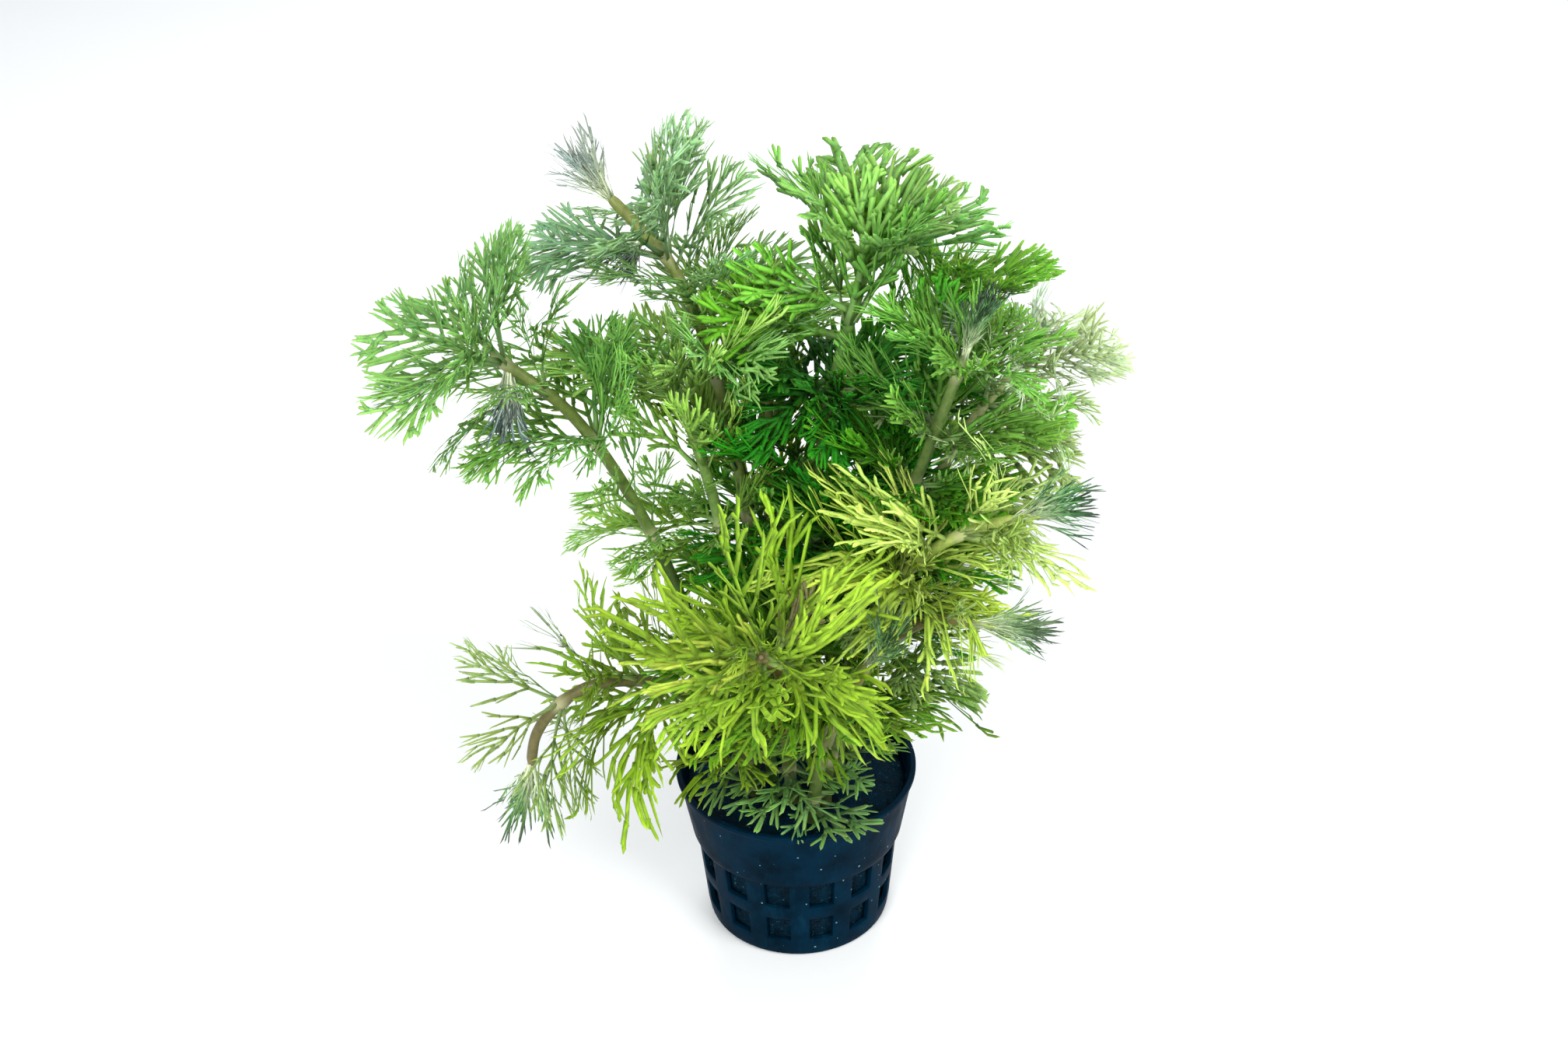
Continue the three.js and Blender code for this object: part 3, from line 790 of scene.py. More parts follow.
def oneLeaf(root, tip, face, kind, tone, rng, stray=1):
    first, count = shapeRange[kind]
    aim = np.array(tip) - np.array(root)
    size = np.linalg.norm(aim)
    turn = Matrix.Rotation(math.radians(stray * rng.uniform(-1, 1) * unruly["twist"]), 3, Vector(aim / size))
    return {
        "root": root,
        "aim": aim / size,
        "face": turn @ Vector(face),
        "size": size * rng.uniform(*unruly["size"]),
        "shape": first + rng.randrange(count),
        "tone": toned(tone, rng),
        "wet": 0,
    }


def freeWhorl(line, share, count, kind, tone, length, lean, rng):
    # a whorl that the CAD doesn't have, evenly spread and then disturbed
    at = round(share * (len(line) - 1))
    centre = Vector(line[at])
    along = Vector(chordAt(line, at)).normalized()
    across = along.orthogonal().normalized()
    first = rng.uniform(0, 360)
    leaves = []
    for k in range(count):
        bearing = first + k * 360 / count + rng.uniform(-1, 1) * unruly["swing"]
        out = Matrix.Rotation(math.radians(bearing), 3, along) @ across
        angle = math.radians(lean + rng.uniform(-1, 1) * unruly["lean"])
        heading = along * math.cos(angle) + out * math.sin(angle)
        root = centre + out * stemSide * mm + along * rng.uniform(-1, 1) * unruly["slide"]
        face = along * math.sin(angle) - out * math.cos(angle)
        tip = root + heading * length * mm * rng.uniform(*unruly["length"])
        leaves.append(oneLeaf(np.array(root), np.array(tip), np.array(face), kind, tone, rng))
    return leaves


def whorlLeaves(centre, along, places, kind, tone, rng, size, between):
    # the CAD's leaves, and one more in each gap between two of them
    leaves = []
    for p in places:
        tip = p["root"] + (p["tip"] - p["root"]) * size
        leaves.append(oneLeaf(p["root"], tip, p["face"], kind, tone, rng))
    if not between:
        return leaves
    across = np.cross(along, (0, 0, 1) if abs(along[2]) < 0.9 else (1, 0, 0))
    across /= np.linalg.norm(across)
    third = np.cross(along, across)

    def bearing(p):
        out = p["root"] - centre
        return math.atan2(out.dot(third), out.dot(across))

    ordered = sorted(places, key=bearing)
    for a, b in zip(ordered, ordered[1:] + ordered[:1]):
        gap = (bearing(b) - bearing(a)) % (2 * math.pi)
        if math.degrees(gap) < filler["least"] or len(ordered) < 2:
            continue
        turn = Matrix.Rotation(gap / 2, 3, Vector(along))
        reach = Vector(a["tip"] - a["root"])
        forth = turn @ reach
        back = Matrix.Rotation(-gap / 2, 3, Vector(along)) @ Vector(b["tip"] - b["root"])
        heading = (forth.normalized() + back.normalized()).normalized()
        side = heading.cross(Vector(along)).normalized()
        lean = math.radians(rng.uniform(*filler["leanChance"]) * filler["lean"])
        leant = Matrix.Rotation(lean, 3, side)
        heading = leant @ heading
        face = leant @ (turn @ Vector(a["face"]))
        slide = Vector(along) * rng.uniform(-1, 1) * unruly["slide"]
        root = Vector(centre) + turn @ Vector(a["root"] - centre) + slide
        tip = root + heading * (reach.length * rng.uniform(*filler["size"]))
        leaves.append(oneLeaf(np.array(root), np.array(tip), np.array(face), kind, tone, rng))
    return leaves


for shoot in shootNames:
    rng = random.Random("leaves " + shoot)
    leaves = []
    for (node, centre, along, places), (kind, tone) in zip(whorls[shoot], foliage[shoot]):
        size = trimmed.get(node, 1)
        leaves += whorlLeaves(centre, along, places, kind, tone, rng, size, node not in trimmed)
    for whorl in moreWhorls[shoot]:
        leaves += freeWhorl(lines[shoot], *whorl, rng)
    for _ in range(0 if "bud_" + shoot in frame["nodes"] else tipLeaves["count"]):
        length = rng.uniform(*tipLeaves["length"])
        lean = rng.uniform(*tipLeaves["lean"])
        leaves += freeWhorl(lines[shoot], 1, 1, "closed", foliage[shoot][-1][1], length, lean, rng)
    for share, kind, tone, length, toward in loneLeaves.get(shoot, ()):
        root = lines[shoot][round(share * (len(lines[shoot]) - 1))]
        heading = Vector(toward).normalized()
        face = heading.cross(up - Vector((0, loneLook["backward"], 0))).normalized().cross(heading)
        tip = root + np.array(heading) * length * mm
        leaves.append(oneLeaf(root, tip, np.array(face), kind, tone, rng, loneLook["stray"]))
    for leaf in leaves if shoot in keepAbove else ():
        above = leaf["root"][2] - keepAboveSlope * leaf["root"][1] - keepAbove[shoot]
        climb = leaf["aim"][2] - keepAboveSlope * leaf["aim"][1]
        if above > 0 > above + climb * leaf["size"]:
            leaf["aim"] = Vector(leaf["aim"] - np.array((0, 0, above / leaf["size"] + climb))).normalized()
    name = "leaves" + camel("_" + shoot)
    values = {"Shapes": shapes, "Material": leafBlade, **leafRipple}
    piece = runTree(name, newPoints(name, leaves), foliageTree, values, pointKinds)
    dress(smooth(piece), "leaf", *[whorl[0] for whorl in whorls[shoot]])
    print(name, len(leaves), "leaves,", len(piece.data.polygons), "faces")


# Stem: a soft round water-plant stem, finely ribbed from end to end. It is green low down, paler or browner
# where light has reached it, and swollen and pale where the leaves leave it. The skin is thin, with a satin
# shine.
stemLook = {
    "radius": 1.4 * mm,
    "tipShare": 0.78,  # of the radius, at the tip
    "swell": 0.2,  # how much thicker a node is
    "swellLength": 1.7 * mm,
    "ribs": 14,
    "ribDepth": 0.06,  # of the radius
    "tipRound": (0.9, 0.7, 0.35),  # the girth of its last three rings
    "nodePale": "#c9c79a",
    "nodeShare": 0.6,  # how much of that colour a node takes
    "ageing": (1.5, 0.4, 1.3),  # how the lower colour turns into the upper one
    "streak": 1.5 * mm,
}
# Each stem's colour, low and high.
stemColours = {
    "back_left": ("#4c6c2c", "#848c48"),
    "left": ("#44662a", "#6c7c38"),
    "middle_left": ("#42662c", "#7c9c4c"),
    "back": ("#587438", "#b0ac70"),
    "crown": ("#3a5a20", "#648c40"),
    "back_right": ("#426a2a", "#86ac54"),
    "right": ("#46602a", "#6c8444"),
    "far_right": ("#587838", "#b0b87c"),
    "low_right": ("#58742a", "#a4b458"),
    "arching_right": ("#4c5c2c", "#786c38"),
    "front": ("#505c24", "#7c6430"),
    "arching_left": ("#4c5428", "#6c6434"),
    "front_right": ("#465c28", "#8c9048"),
}
stemSkin, stemTree, stemShader = newMaterial("ribbedStemSkin", IOR=1.42, Subsurface_Weight=0.12,
                                             Subsurface_Radius=(0.8, 0.9, 0.4), Subsurface_Scale=1 * mm)
stemPlace = addNode(stemTree, "ShaderNodeTexCoord").outputs["Object"]
stemTone = addNode(stemTree, "ShaderNodeAttribute", attribute_name="tone").outputs["Color"]
stemNode = addNode(stemTree, "ShaderNodeAttribute", attribute_name="joint").outputs["Fac"]
streaks = addNode(stemTree, "ShaderNodeTexNoise", {"Vector": stemPlace},
                  {"Scale": 1 / stemLook["streak"], "Detail": 4, "Roughness": 0.65})
streakValue = addNode(stemTree, "ShaderNodeMapRange", {"Value": streaks},
                      {"From Min": 0.3, "From Max": 0.7, "To Min": 0.7, "To Max": 1.3})
streaked = addNode(stemTree, "ShaderNodeHueSaturation", {"Color": stemTone, "Value": streakValue.outputs[0]})
jointed = addNode(stemTree, "ShaderNodeMix", {"Factor": stemNode, 6: streaked},
                  {7: linear(stemLook["nodePale"])}, data_type="RGBA")
stemTree.links.new(jointed.outputs[2], stemShader.inputs["Base Color"])
stemShine = addNode(stemTree, "ShaderNodeMapRange", {"Value": streaks},
                    {"From Min": 0.3, "From Max": 0.7, "To Min": 0.34, "To Max": 0.5})
stemTree.links.new(stemShine.outputs[0], stemShader.inputs["Roughness"])
stemBump = addNode(stemTree, "ShaderNodeBump", {"Height": streaks}, {"Strength": 0.35, "Distance": 0.12 * mm})
stemTree.links.new(stemBump.outputs[0], stemShader.inputs["Normal"])

stemNodes, stemGiven = newTree("stem", {"Ribs": "Int", "Rib depth": "Float", "Material": "Material"})
stemGirth = addNode(stemNodes, "GeometryNodeInputNamedAttribute", values={"Name": "girth"}, data_type="FLOAT")
stemCurve = addNode(stemNodes, "GeometryNodeMeshToCurve", {"Mesh": stemGiven["Geometry"]})
ribPoints = addNode(stemNodes, "ShaderNodeMath", {0: stemGiven["Ribs"]}, {1: 2}, operation="MULTIPLY")
ring = addNode(stemNodes, "GeometryNodeCurvePrimitiveCircle", {"Resolution": ribPoints}, {"Radius": 1})
ringIndex = addNode(stemNodes, "GeometryNodeInputIndex")
ringOdd = addNode(stemNodes, "ShaderNodeMath", {0: ringIndex}, {1: 2}, operation="MODULO")
ringDip = addNode(stemNodes, "ShaderNodeMath", {0: ringOdd, 1: stemGiven["Rib depth"]}, operation="MULTIPLY")
ringScale = addNode(stemNodes, "ShaderNodeMath", {1: ringDip}, {0: 1}, operation="SUBTRACT")
ringPlace = addNode(stemNodes, "GeometryNodeInputPosition")
ringMoved = addNode(stemNodes, "ShaderNodeVectorMath", {0: ringPlace, "Scale": ringScale}, operation="SCALE")
ribbed = addNode(stemNodes, "GeometryNodeSetPosition", {"Geometry": ring, "Position": ringMoved})
stemLinks = {"Curve": stemCurve, "Profile Curve": ribbed, "Scale": stemGirth.outputs["Attribute"]}
stemTube = addNode(stemNodes, "GeometryNodeCurveToMesh", stemLinks, {"Fill Caps": True})
endTree(stemNodes, stemTube, stemGiven["Material"])


def stemStart(name, shoot):
    # the stem's centre line with its girth, its green and its pale joints
    line = lines[shoot]
    low, high = (np.array(linear(c)[:3]) for c in stemColours[shoot])
    share = np.linspace(0, 1, len(line))
    joint = np.zeros(len(line))
    for _, centre, _, _ in whorls[shoot]:
        away = np.linalg.norm(line - centre, axis=1)
        joint = np.maximum(joint, np.exp(-(away / stemLook["swellLength"]) ** 2))
    girth = stemLook["radius"] * (1 - (1 - stemLook["tipShare"]) * share) * (1 + stemLook["swell"] * joint)
    girth[-len(stemLook["tipRound"]) :] *= stemLook["tipRound"]
    speed, start, power = stemLook["ageing"]
    colour = low + (high - low) * np.clip(share * speed - start, 0, 1)[:, None] ** power
    carried = {
        "girth": ("FLOAT", girth),
        "joint": ("FLOAT", joint * stemLook["nodeShare"]),
        "tone": ("FLOAT_COLOR", np.column_stack([colour, np.ones(len(line))])),
    }
    return newMesh(name, line, [], carried, [(i, i + 1) for i in range(len(line) - 1)])


for shoot in shootNames:
    name = "stem" + camel("_" + shoot)
    values = {"Ribs": stemLook["ribs"], "Rib depth": stemLook["ribDepth"], "Material": stemSkin}
    piece = runTree(name, stemStart(name, shoot), stemNodes, values, ("girth",))
    dress(smooth(piece), "stem", "stem_" + shoot)
print("grew", len(shootNames), "stems")

# Buds: a bundle of closed leaves at a shoot's tip, and wet clumps of drowned leaves that hang from two
# shoots.
budShape = {
    "leaves": 20,
    "clumpLeaves": 14,
    "length": (0.62, 1.1),
    "past": 1.02,  # of the CAD tip's length
    "sunk": 1 * mm,
    "rootRing": 0.8 * mm,
    "rootChance": (0.2, 1),
    "turn": 2.39996,  # radians from one leaf to the next, so that none covers another
    "opening": (0.1, 1),
    "closing": 1.3,  # over 1, more of the leaves stay in the middle
}
budRipple = {"Leaf scale": 1.0, "Ripple": 3.5 * mm, "Ripple size": 7 * mm, "Seed": 3}
budKinds = {
    # its green, how dark the soaked tips are, and how far its leaves have opened, in degrees
    "back_left": ("#b4c0b0", 0.3, 40),
    "right": ("#6ca460", 1, 24),
    "low_right": ("#68a864", 0.8, 44),
    "arching_right": ("#8cb474", 0.7, 40),
    "arching_left": ("#70ac50", 0.75, 32),
    "front_right": ("#78b060", 0.8, 24),
}
clumps = {
    # its shoot, where it hangs from as a share of the shoot's line, which way, its length, and its kind
    "clumpBackLeft": ("back_left", 0.93, (-0.55, -0.1, -0.75), 13 * mm, ("#8c9c94", 0.6, 30)),
    "clumpLeft": ("left", 0.97, (-0.15, -0.3, -1), 19 * mm, ("#8ca09c", 0.65, 30)),
}


def bundle(base, heading, length, count, kind, rng):
    # leaves that start in a small ring and have opened by chance
    tone, wet, opened = kind
    leaves = []
    side = heading.orthogonal().normalized()
    for k in range(count):
        around = Matrix.Rotation(k * budShape["turn"], 3, heading) @ side
        spread = math.radians(opened * rng.uniform(*budShape["opening"]) ** budShape["closing"])
        aim = (heading * math.cos(spread) + around * math.sin(spread)).normalized()
        root = base + around * budShape["rootRing"] * rng.uniform(*budShape["rootChance"])
        tip = root + aim * length * rng.uniform(*budShape["length"])
        leaves.append(oneLeaf(np.array(root), np.array(tip), np.array(-around), "closed", tone, rng))
        leaves[-1]["wet"] = wet
    return leaves


def budPiece(name, leaves, *nodes):
    values = {"Shapes": shapes, "Material": budLeaf, **budRipple}
    piece = runTree(name, newPoints(name, leaves), foliageTree, values, pointKinds)
    return dress(smooth(piece), "bud", *nodes)


for node in sorted(name for name in frame["nodes"] if name.startswith("bud_")):
    shoot = node[4:]
    points, _ = cadPoints(node)
    end = Vector(lines[shoot][-1])
    tip = Vector(points[np.argmax(np.linalg.norm(points - lines[shoot][-1], axis=1))])
    middle = Vector(points.mean(0))
    heading = (middle - end).normalized()
    base = end - heading * budShape["sunk"]
    length = (tip - end).length * budShape["past"]
    leaves = bundle(base, heading, length, budShape["leaves"], budKinds[shoot], random.Random("bud " + shoot))
    budPiece("bud" + camel("_" + shoot), leaves, node)
for name, (shoot, share, toward, length, kind) in clumps.items():
    base = Vector(lines[shoot][round(share * (len(lines[shoot]) - 1))])
    heading = Vector(toward).normalized()
    leaves = bundle(base, heading, length, budShape["clumpLeaves"], kind, random.Random(name))
    budPiece(name, leaves)
print("closed leaves and clumps are in place")

# Net pot: polypropylene, injection moulded in one piece. It has a satin skin that blurs its highlights, a
# faint flow grain, pale rubbed streaks, and pale specks that are partly grit and dried water marks and partly
# painted glints.
pot = {
    "bays": 7,  # each has two windows in a row, and one drain slot in the base
    "lip": (26.0 * mm, 38.0 * mm),
    "bead": 1.0 * mm,
    "collarFoot": (22.9 * mm, 22.0 * mm),
    "ledge": 0.8 * mm,
    "foot": 20.1 * mm,
    "footRound": 1.3 * mm,
    "wall": 1.1 * mm,
    "windowRows": ((14.7 * mm, 21.4 * mm), (5.0 * mm, 11.4 * mm)),
    "windowAngle": 14.4,
    "slot": {"inner": 5 * mm, "outer": 16 * mm, "half": 1.3 * mm},
    "bevel": 0.28 * mm,
    "bevelAngle": 48,
    "weld": 0.02 * mm,
    # how the outside is drawn between those sizes
    "beadStep": (0.45 * mm, 1.25),  # how far the band stands back under the bead, and how many beads down
    "bandShares": (0.12, 0.3, 0.5, 0.7, 0.88, 0.97),
    "bandCrown": 0.3 * mm,
    "ledgeRows": ((-0.15 * mm, 0.1 * mm), (0.1 * mm, -0.15 * mm)),
    "bandFoot": 0.5 * mm,
    "sill": 1.6 * mm,  # plain wall under a row of windows
    "baseMiddle": 2.5 * mm,
    "windowSteps": (6, 4),  # faces across a window and down it, which are left out
    "footSteps": 3,
    "slotSteps": 5,
}
potLook = {
    "deep": "#01131f",
    "skin": "#022032",
    "rubbed": "#0c3549",
    "speck": "#688894",
    "flow": 9 * mm,
    "grain": 0.35 * mm,
    "speckSpacing": 1.6 * mm,  # real grit is finer than this, but would not show; these specks are partly painted glints
    "streak": 7 * mm,
}


def wallRadius(z):
    # the lattice wall's outer radius
    return pot["foot"] + (pot["collarFoot"][0] - pot["ledge"] - pot["foot"]) * z / pot["collarFoot"][1]


def potProfile():
    # (radius, height, mark) down the outside and in under the base; openings lie below the marked rows
    lipR, lipZ = pot["lip"]
    footR, footZ = pot["collarFoot"]
    slope = (lipR - footR) / (lipZ - footZ)
    back, beads = pot["beadStep"]
    rows = [(lipR, lipZ, ""), (lipR, lipZ - pot["bead"], ""), (lipR - back, lipZ - beads * pot["bead"], "")]
    for share in pot["bandShares"]:
        z = lipZ + (footZ + pot["bandFoot"] - lipZ) * share
        rows.append((lipR - pot["bandCrown"] * (1 - share) - slope * (lipZ - z), z, ""))
    (overR, overZ), (underR, underZ) = pot["ledgeRows"]
    rows += [(footR + overR, footZ + overZ, ""), (footR - pot["ledge"] + underR, footZ + underZ, "")]
    steps = pot["windowSteps"][1]
    for low, high in pot["windowRows"]:
        for k in range(steps + 1):
            z = high + (low - high) * k / steps
            rows.append((wallRadius(z), z, "window" if k < steps else ""))
        rows.append((wallRadius(low - pot["sill"]), low - pot["sill"], ""))
    for k in range(pot["footSteps"] + 1):
        angle = math.radians(90 * k / pot["footSteps"])
        r = wallRadius(0) - pot["footRound"] * (1 - math.cos(angle))
        rows.append((r, pot["footRound"] * (1 - math.sin(angle)), ""))
    outer, inner, steps = pot["slot"]["outer"], pot["slot"]["inner"], pot["slotSteps"]
    for k in range(steps + 1):
        rows.append((outer + (inner - outer) * k / steps, 0, "slot" if k < steps else ""))
    return rows + [(pot["baseMiddle"], 0, ""), (0, 0, "")]


def potBay():
    # one bay of the outer skin, with its four windows and its slot left open
    bay = 180 / pot["bays"]  # half a bay, in degrees
    half = pot["windowAngle"] / 2
    middle = bay / 2
    jamb = middle - half
    steps = pot["windowSteps"][0]
    right = [0, jamb / 2, jamb]
    right += [jamb + 2 * half * k / steps for k in range(1, steps + 1)]
    right += [(middle + half + bay) / 2, bay]
    angles = [-a for a in reversed(right[1:])] + right

    def onBase(angle, r):
        # under the base the jambs draw in to the slot's even width
        slot = math.degrees(math.asin(min(pot["slot"]["half"] / max(r, pot["slot"]["inner"]), 1)))
        size = abs(angle)
        size = size * slot / jamb if size <= jamb else slot + (size - jamb) * (bay - slot) / (bay - jamb)
        return math.copysign(size, angle)

    points, faces, rows = [], [], potProfile()
    baseEdge = pot["slot"]["outer"] * 1.001  # a hair past it, so that rounding doesn't leave its own row out
    for r, z, mark in rows:
        for angle in angles:
            turned = math.radians(onBase(angle, r) if z == 0 and 0 < r <= baseEdge else angle)
            points.append((r * math.sin(turned), -r * math.cos(turned), z))
    count = len(angles)
    for i, (r, z, mark) in enumerate(rows[:-1]):
        for k in range(count - 1):
            across = (abs(angles[k]) + abs(angles[k + 1])) / 2
            if mark == "window" and abs(across - middle) < half:
                continue
            if mark == "slot" and across < jamb:
                continue
            first = i * count + k
            faces.append((first, first + count, first + count + 1, first + 1))
    return newMesh("potBay", points, faces)


potPlastic, potTree, potShader = newMaterial("mouldedPolypropylene", IOR=1.49, Specular_IOR_Level=0.015)
potPlace = addNode(potTree, "ShaderNodeTexCoord").outputs["Object"]
potFlow = addNode(potTree, "ShaderNodeTexNoise", {"Vector": potPlace},
                  {"Scale": 1 / potLook["flow"], "Detail": 5, "Roughness": 0.6})
potStops = [(0.35, linear(potLook["deep"])), (0.62, linear(potLook["skin"]))]
potSkin = addNode(potTree, "ShaderNodeValToRGB", {0: potFlow}, stops=potStops)
potStretch = addNode(potTree, "ShaderNodeMapping", {"Vector": potPlace},
                     {"Scale": (1, 1, 0.35), "Rotation": (0.5, 0.3, 0)})
potRub = addNode(potTree, "ShaderNodeTexNoise", {"Vector": potStretch},
                 {"Scale": 1 / potLook["streak"], "Detail": 9, "Roughness": 0.72})
potRubbed = addNode(potTree, "ShaderNodeMapRange", {"Value": potRub},
                    {"From Min": 0.54, "From Max": 0.72, "To Min": 0, "To Max": 0.55})
potWorn = addNode(potTree, "ShaderNodeMix", {"Factor": potRubbed.outputs[0], 6: potSkin},
                  {7: linear(potLook["rubbed"])}, data_type="RGBA")
# pale specks: partly grit and dried water marks, partly painted glints
potGritAndGlint = addNode(potTree, "ShaderNodeTexVoronoi", {"Vector": potPlace},
                  {"Scale": 1 / potLook["speckSpacing"]})
potSize = addNode(potTree, "ShaderNodeSeparateColor", {0: potGritAndGlint.outputs["Color"]})
potNear = addNode(potTree, "ShaderNodeMapRange", {"Value": potSize.outputs[0]},
                  {"From Min": 0.55, "From Max": 1, "To Min": 0, "To Max": 0.16})
potSpeck = addNode(potTree, "ShaderNodeMath", {0: potGritAndGlint.outputs["Distance"], 1: potNear.outputs[0]},
                   operation="LESS_THAN")
potSpeckled = addNode(potTree, "ShaderNodeMix", {"Factor": potSpeck, 6: potWorn.outputs[2]},
                      {7: linear(potLook["speck"])}, data_type="RGBA")
potTree.links.new(potSpeckled.outputs[2], potShader.inputs["Base Color"])
potShine = addNode(potTree, "ShaderNodeMapRange", {"Value": potRub},
                   {"From Min": 0.35, "From Max": 0.7, "To Min": 0.36, "To Max": 0.62})
potTree.links.new(potShine.outputs[0], potShader.inputs["Roughness"])
potGrain = addNode(potTree, "ShaderNodeTexNoise", {"Vector": potPlace},
                   {"Scale": 1 / potLook["grain"], "Detail": 3})
potHeight = addNode(potTree, "ShaderNodeMath", {0: potGrain, 1: potSpeck}, operation="ADD")
potBump = addNode(potTree, "ShaderNodeBump", {"Height": potHeight}, {"Strength": 0.35, "Distance": 0.08 * mm})
potTree.links.new(potBump.outputs[0], potShader.inputs["Normal"])

# The pot's tree repeats the bay round the axis and welds the seams.
potNodes, potGiven = newTree("netPot", {"Bays": "Int", "Weld": "Float", "Material": "Material"})
potSpots = addNode(potNodes, "GeometryNodePoints", {"Count": potGiven["Bays"]})
potIndex = addNode(potNodes, "GeometryNodeInputIndex")
potShare = addNode(potNodes, "ShaderNodeMath", {0: potIndex, 1: potGiven["Bays"]}, operation="DIVIDE")
potAngle = addNode(potNodes, "ShaderNodeMath", {0: potShare}, {1: 2 * math.pi}, operation="MULTIPLY")
potEuler = addNode(potNodes, "ShaderNodeCombineXYZ", {"Z": potAngle})
potTurn = addNode(potNodes, "FunctionNodeEulerToRotation", {0: potEuler})
potRound = addNode(potNodes, "GeometryNodeInstanceOnPoints",
                   {"Points": potSpots, "Instance": potGiven["Geometry"], "Rotation": potTurn})
potReal = addNode(potNodes, "GeometryNodeRealizeInstances", {0: potRound})
potWelded = addNode(potNodes, "GeometryNodeMergeByDistance",
                    {"Geometry": potReal, "Distance": potGiven["Weld"]})
endTree(potNodes, potWelded, potGiven["Material"])
potValues = {"Bays": pot["bays"], "Weld": pot["weld"], "Material": potPlastic}
netPot = runTree("netPot", potBay(), potNodes, potValues)
potWall = netPot.modifiers.new("wall", "SOLIDIFY")
potWall.thickness = pot["wall"]
potWall.offset = -1
potWall.use_even_offset = True
potEdge = netPot.modifiers.new("edge", "BEVEL")
potEdge.width = pot["bevel"]
potEdge.segments = 2
potEdge.limit_method = "ANGLE"
potEdge.angle_limit = math.radians(pot["bevelAngle"])
dress(smooth(netPot), "pot", "net_pot")
print("moulded the net pot with", len(netPot.data.polygons), "faces in its skin")

# Growing plug: stone wool, spun from molten rock and pressed, here soaked and dark with algae. It is matt,
# made of fine crossing fibres, with a few pale fibres, and pale spots that are partly pale grains and partly
# painted glints of water droplets.
plug = {
    "foot": 2 * mm,
    "top": 35 * mm,
    "clearance": 0.35 * mm,  # from the pot's inside
    "collarSlope": 0.19,  # how fast the pot widens above its ledge
    "sag": 1.2 * mm,  # how much lower its top is at the rim
    "rough": 0.55 * mm,
    "lump": 2.4 * mm,
    "around": 120,
    "levels": 22,
    "topRings": 14,
}
fibre = {  # real fibres are a tenth as thick
    "length": 3.2 * mm,
    "radius": 0.06 * mm,
    "bow": 0.35 * mm,
    "bowTurn": 2.6,
    "kink": 0.1,  # millimetres
    "rings": 5,
    "sides": 3,
    "count": 1500,
    "tilt": 0.16,
}
plugLook = {
    "deep": "#010e17",
    "wet": "#021e2e",
    "moss": "#08241f",
    "pale": "#3c5a68",
    "clump": 2.2 * mm,
    "strand": 0.5 * mm,
    "paleSpot": 1.1 * mm,
}


def insideRadius(z):
    # the pot's outer radius at the plug's side, over its wall and its collar
    ledgeZ = pot["collarFoot"][1]
    if z < ledgeZ:
        return wallRadius(z)
    return wallRadius(ledgeZ) + pot["ledge"] + plug["collarSlope"] * (z - ledgeZ)


def plugStart():
    # a lumpy stopper that follows the pot's inside
    levels, rings, count = plug["levels"], plug["topRings"], plug["around"]
    rows = []
    for k in range(levels + 1):
        z = plug["foot"] + (plug["top"] - plug["foot"]) * k / levels
        rows.append((insideRadius(z) - pot["wall"] - plug["clearance"], z - plug["sag"] * (z == plug["top"])))
    rim = rows[-1][0]
    for k in range(1, rings):
        share = 1 - k / rings
        rows.append((rim * share, plug["top"] - plug["sag"] * share**3))
    points, faces = [], []
    for i, (r, z) in enumerate(rows):
        for k in range(count):
            angle = 2 * math.pi * k / count
            out = Vector((math.cos(angle), math.sin(angle), 0))
            spot = Vector((r * math.cos(angle), r * math.sin(angle), z))
            lump = noise.fractal(spot / plug["lump"], 1, 2, 3) * plug["rough"]
            points.append(spot + (out * min(lump, 0) if i <= levels else up * lump))
    for i in range(len(rows) - 1):
        for k in range(count):
            a, b = i * count + k, i * count + (k + 1) % count
            faces.append((a, b, b + count, a + count))
    points += [Vector((0, 0, plug["foot"])), Vector((0, 0, plug["top"]))]
    last = (len(rows) - 1) * count
    for k in range(count):
        after = (k + 1) % count
        faces.append((len(points) - 2, after, k))
        faces.append((len(points) - 1, last + k, last + after))
    return newMesh("plugStart", points, faces)


def fibreStart():
    # one short bent fibre along +X
    rng = random.Random(11)
    rings, sides = fibre["rings"], fibre["sides"]
    points, faces = [], []
    for i in range(rings):
        share = i / (rings - 1)
        kink = rng.uniform(-fibre["kink"], fibre["kink"]) * mm
        bend = fibre["bow"] * math.sin(fibre["bowTurn"] * share) + kink
        for k in range(sides):
            angle = 2 * math.pi * k / sides
            y = bend + fibre["radius"] * math.cos(angle)
            points.append(((share - 0.5) * fibre["length"], y, fibre["radius"] * math.sin(angle)))
    for i in range(rings - 1):
        for k in range(sides):
            a, b = sides * i + k, sides * i + (k + 1) % sides
            faces.append((a + sides, b + sides, b, a))
    caps = [tuple(range(sides)), tuple(reversed(range(len(points) - sides, len(points))))]
    return newMesh("fibre", points, faces + caps)


wool, woolTree, woolShader = newMaterial("soakedStoneWool", IOR=1.4, Specular_IOR_Level=0.03)
woolPlace = addNode(woolTree, "ShaderNodeTexCoord").outputs["Object"]
woolClump = addNode(woolTree, "ShaderNodeTexNoise", {"Vector": woolPlace},
                    {"Scale": 1 / plugLook["clump"], "Detail": 5, "Roughness": 0.65})
woolStops = [(at, linear(plugLook[key])) for at, key in ((0.36, "deep"), (0.6, "wet"), (0.78, "moss"))]
woolBase = addNode(woolTree, "ShaderNodeValToRGB", {0: woolClump}, stops=woolStops)
woolStrand = addNode(woolTree, "ShaderNodeTexVoronoi", {"Vector": woolPlace},
                     {"Scale": 1 / plugLook["strand"]}, feature="DISTANCE_TO_EDGE")
woolLine = addNode(woolTree, "ShaderNodeMapRange", {"Value": woolStrand},
                   {"From Min": 0.06, "From Max": 0, "To Min": 0, "To Max": 0.2})
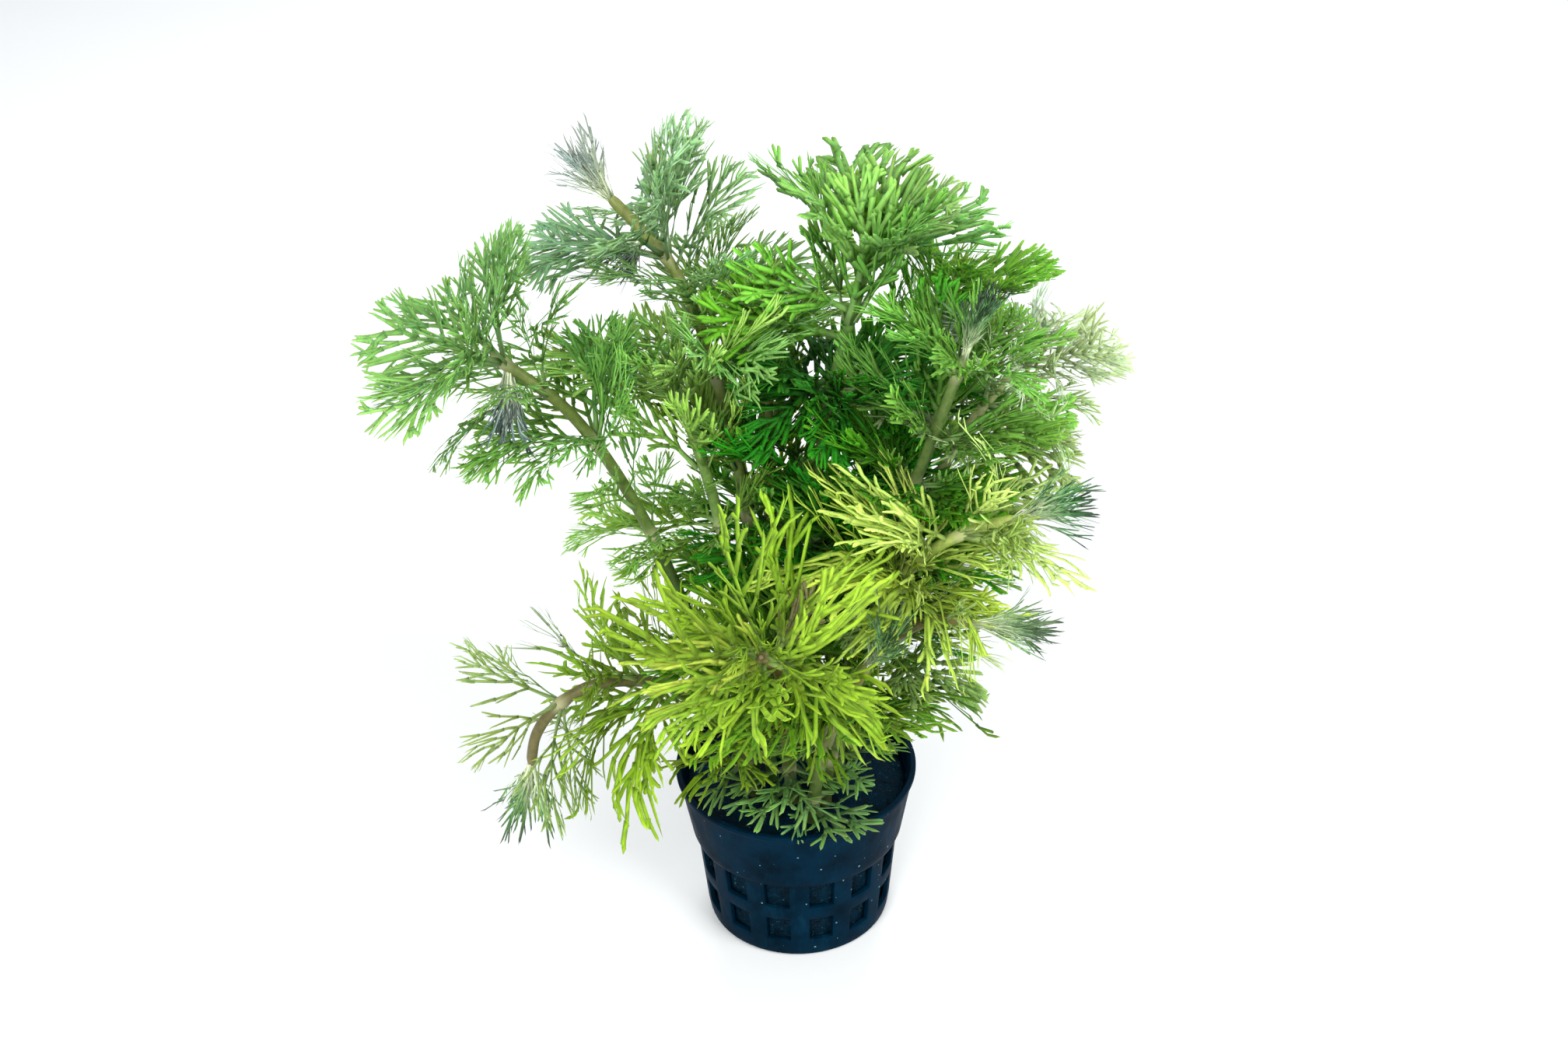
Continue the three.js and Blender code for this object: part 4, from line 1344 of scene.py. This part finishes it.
# pale spots: partly pale grains of the wool, partly painted glints of water droplets
woolPaleAt = addNode(woolTree, "ShaderNodeTexNoise", {"Vector": woolPlace},
                     {"Scale": 1 / plugLook["paleSpot"], "Detail": 2})
woolPaleAndGlint = addNode(woolTree, "ShaderNodeMapRange", {"Value": woolPaleAt},
                   {"From Min": 0.66, "From Max": 0.76, "To Min": 0, "To Max": 0.8})
woolShare = addNode(woolTree, "ShaderNodeMath", {0: woolLine.outputs[0], 1: woolPaleAndGlint.outputs[0]},
                    operation="MAXIMUM")
woolLit = addNode(woolTree, "ShaderNodeAttribute", attribute_name="strand").outputs["Fac"]
woolFibre = addNode(woolTree, "ShaderNodeMapRange", {"Value": woolLit},
                    {"From Min": 0.6, "From Max": 1, "To Min": 0, "To Max": 0.6})
woolLighter = addNode(woolTree, "ShaderNodeMath", {0: woolShare, 1: woolFibre.outputs[0]}, operation="ADD",
                      use_clamp=True)
woolMixed = addNode(woolTree, "ShaderNodeMix", {"Factor": woolLighter, 6: woolBase},
                    {7: linear(plugLook["pale"])}, data_type="RGBA")
woolTree.links.new(woolMixed.outputs[2], woolShader.inputs["Base Color"])
woolWet = addNode(woolTree, "ShaderNodeMapRange", {"Value": woolClump},
                  {"From Min": 0.35, "From Max": 0.7, "To Min": 0.5, "To Max": 0.9})
woolTree.links.new(woolWet.outputs[0], woolShader.inputs["Roughness"])
woolBump = addNode(woolTree, "ShaderNodeBump", {"Height": woolClump}, {"Strength": 0.6, "Distance": 0.4 * mm})
woolTree.links.new(woolBump.outputs[0], woolShader.inputs["Normal"])

# The plug's tree scatters fibres over the stopper, each lying along it and turned at random.
woolInputs = {"Fibre": "Object", "Density": "Float", "Tilt": "Float", "Seed": "Int", "Material": "Material"}
woolNodes, woolGiven = newTree("plugFibres", woolInputs)
woolLinks = {"Mesh": woolGiven["Geometry"], "Density": woolGiven["Density"], "Seed": woolGiven["Seed"]}
woolSpots = addNode(woolNodes, "GeometryNodeDistributePointsOnFaces", woolLinks)
woolSource = addNode(woolNodes, "GeometryNodeObjectInfo", {"Object": woolGiven["Fibre"]})
woolSpin = addNode(woolNodes, "FunctionNodeRandomValue", {"Seed": woolGiven["Seed"]},
                   data_type="FLOAT_VECTOR")
woolLow = addNode(woolNodes, "ShaderNodeCombineXYZ", {"X": woolGiven["Tilt"], "Y": woolGiven["Tilt"]},
                  {"Z": math.pi})
woolMinus = addNode(woolNodes, "ShaderNodeVectorMath", {0: woolLow}, {"Scale": -1}, operation="SCALE")
woolNodes.links.new(woolMinus.outputs[0], woolSpin.inputs["Min"])
woolNodes.links.new(woolLow.outputs[0], woolSpin.inputs["Max"])
woolTwist = addNode(woolNodes, "FunctionNodeEulerToRotation", {0: woolSpin.outputs["Value"]})
woolAim = addNode(woolNodes, "FunctionNodeRotateRotation",
                  {"Rotation": woolSpots.outputs["Rotation"], "Rotate By": woolTwist},
                  rotation_space="LOCAL")
woolSown = addNode(woolNodes, "GeometryNodeInstanceOnPoints",
                   {"Points": woolSpots, "Instance": woolSource.outputs["Geometry"], "Rotation": woolAim})
woolTint = addNode(woolNodes, "FunctionNodeRandomValue", {"Seed": woolGiven["Seed"]}, data_type="FLOAT")
woolTinted = addNode(woolNodes, "GeometryNodeStoreNamedAttribute",
                     {"Geometry": woolSown, "Value": woolTint.outputs["Value"]}, {"Name": "strand"},
                     data_type="FLOAT", domain="INSTANCE")
woolBoth = addNode(woolNodes, "GeometryNodeJoinGeometry")
woolNodes.links.new(woolGiven["Geometry"], woolBoth.inputs[0])
woolNodes.links.new(woolTinted.outputs[0], woolBoth.inputs[0])
endTree(woolNodes, woolBoth, woolGiven["Material"])
fibreObject = bpy.data.objects.new("fibre", fibreStart())
woolArea = 2 * math.pi * pot["foot"] * plug["top"] + 2 * math.pi * pot["foot"] ** 2
woolValues = {"Fibre": fibreObject, "Density": fibre["count"] / woolArea, "Tilt": fibre["tilt"], "Seed": 5,
              "Material": wool}
growingPlug = runTree("growingPlug", plugStart(), woolNodes, woolValues)
bpy.data.objects.remove(fibreObject)
dress(smooth(growingPlug), "plug", "growing_plug")
print("pressed the plug with", len(growingPlug.data.polygons), "faces")

for old in list(shapes.objects):
    bpy.data.objects.remove(old)
bpy.data.collections.remove(shapes)
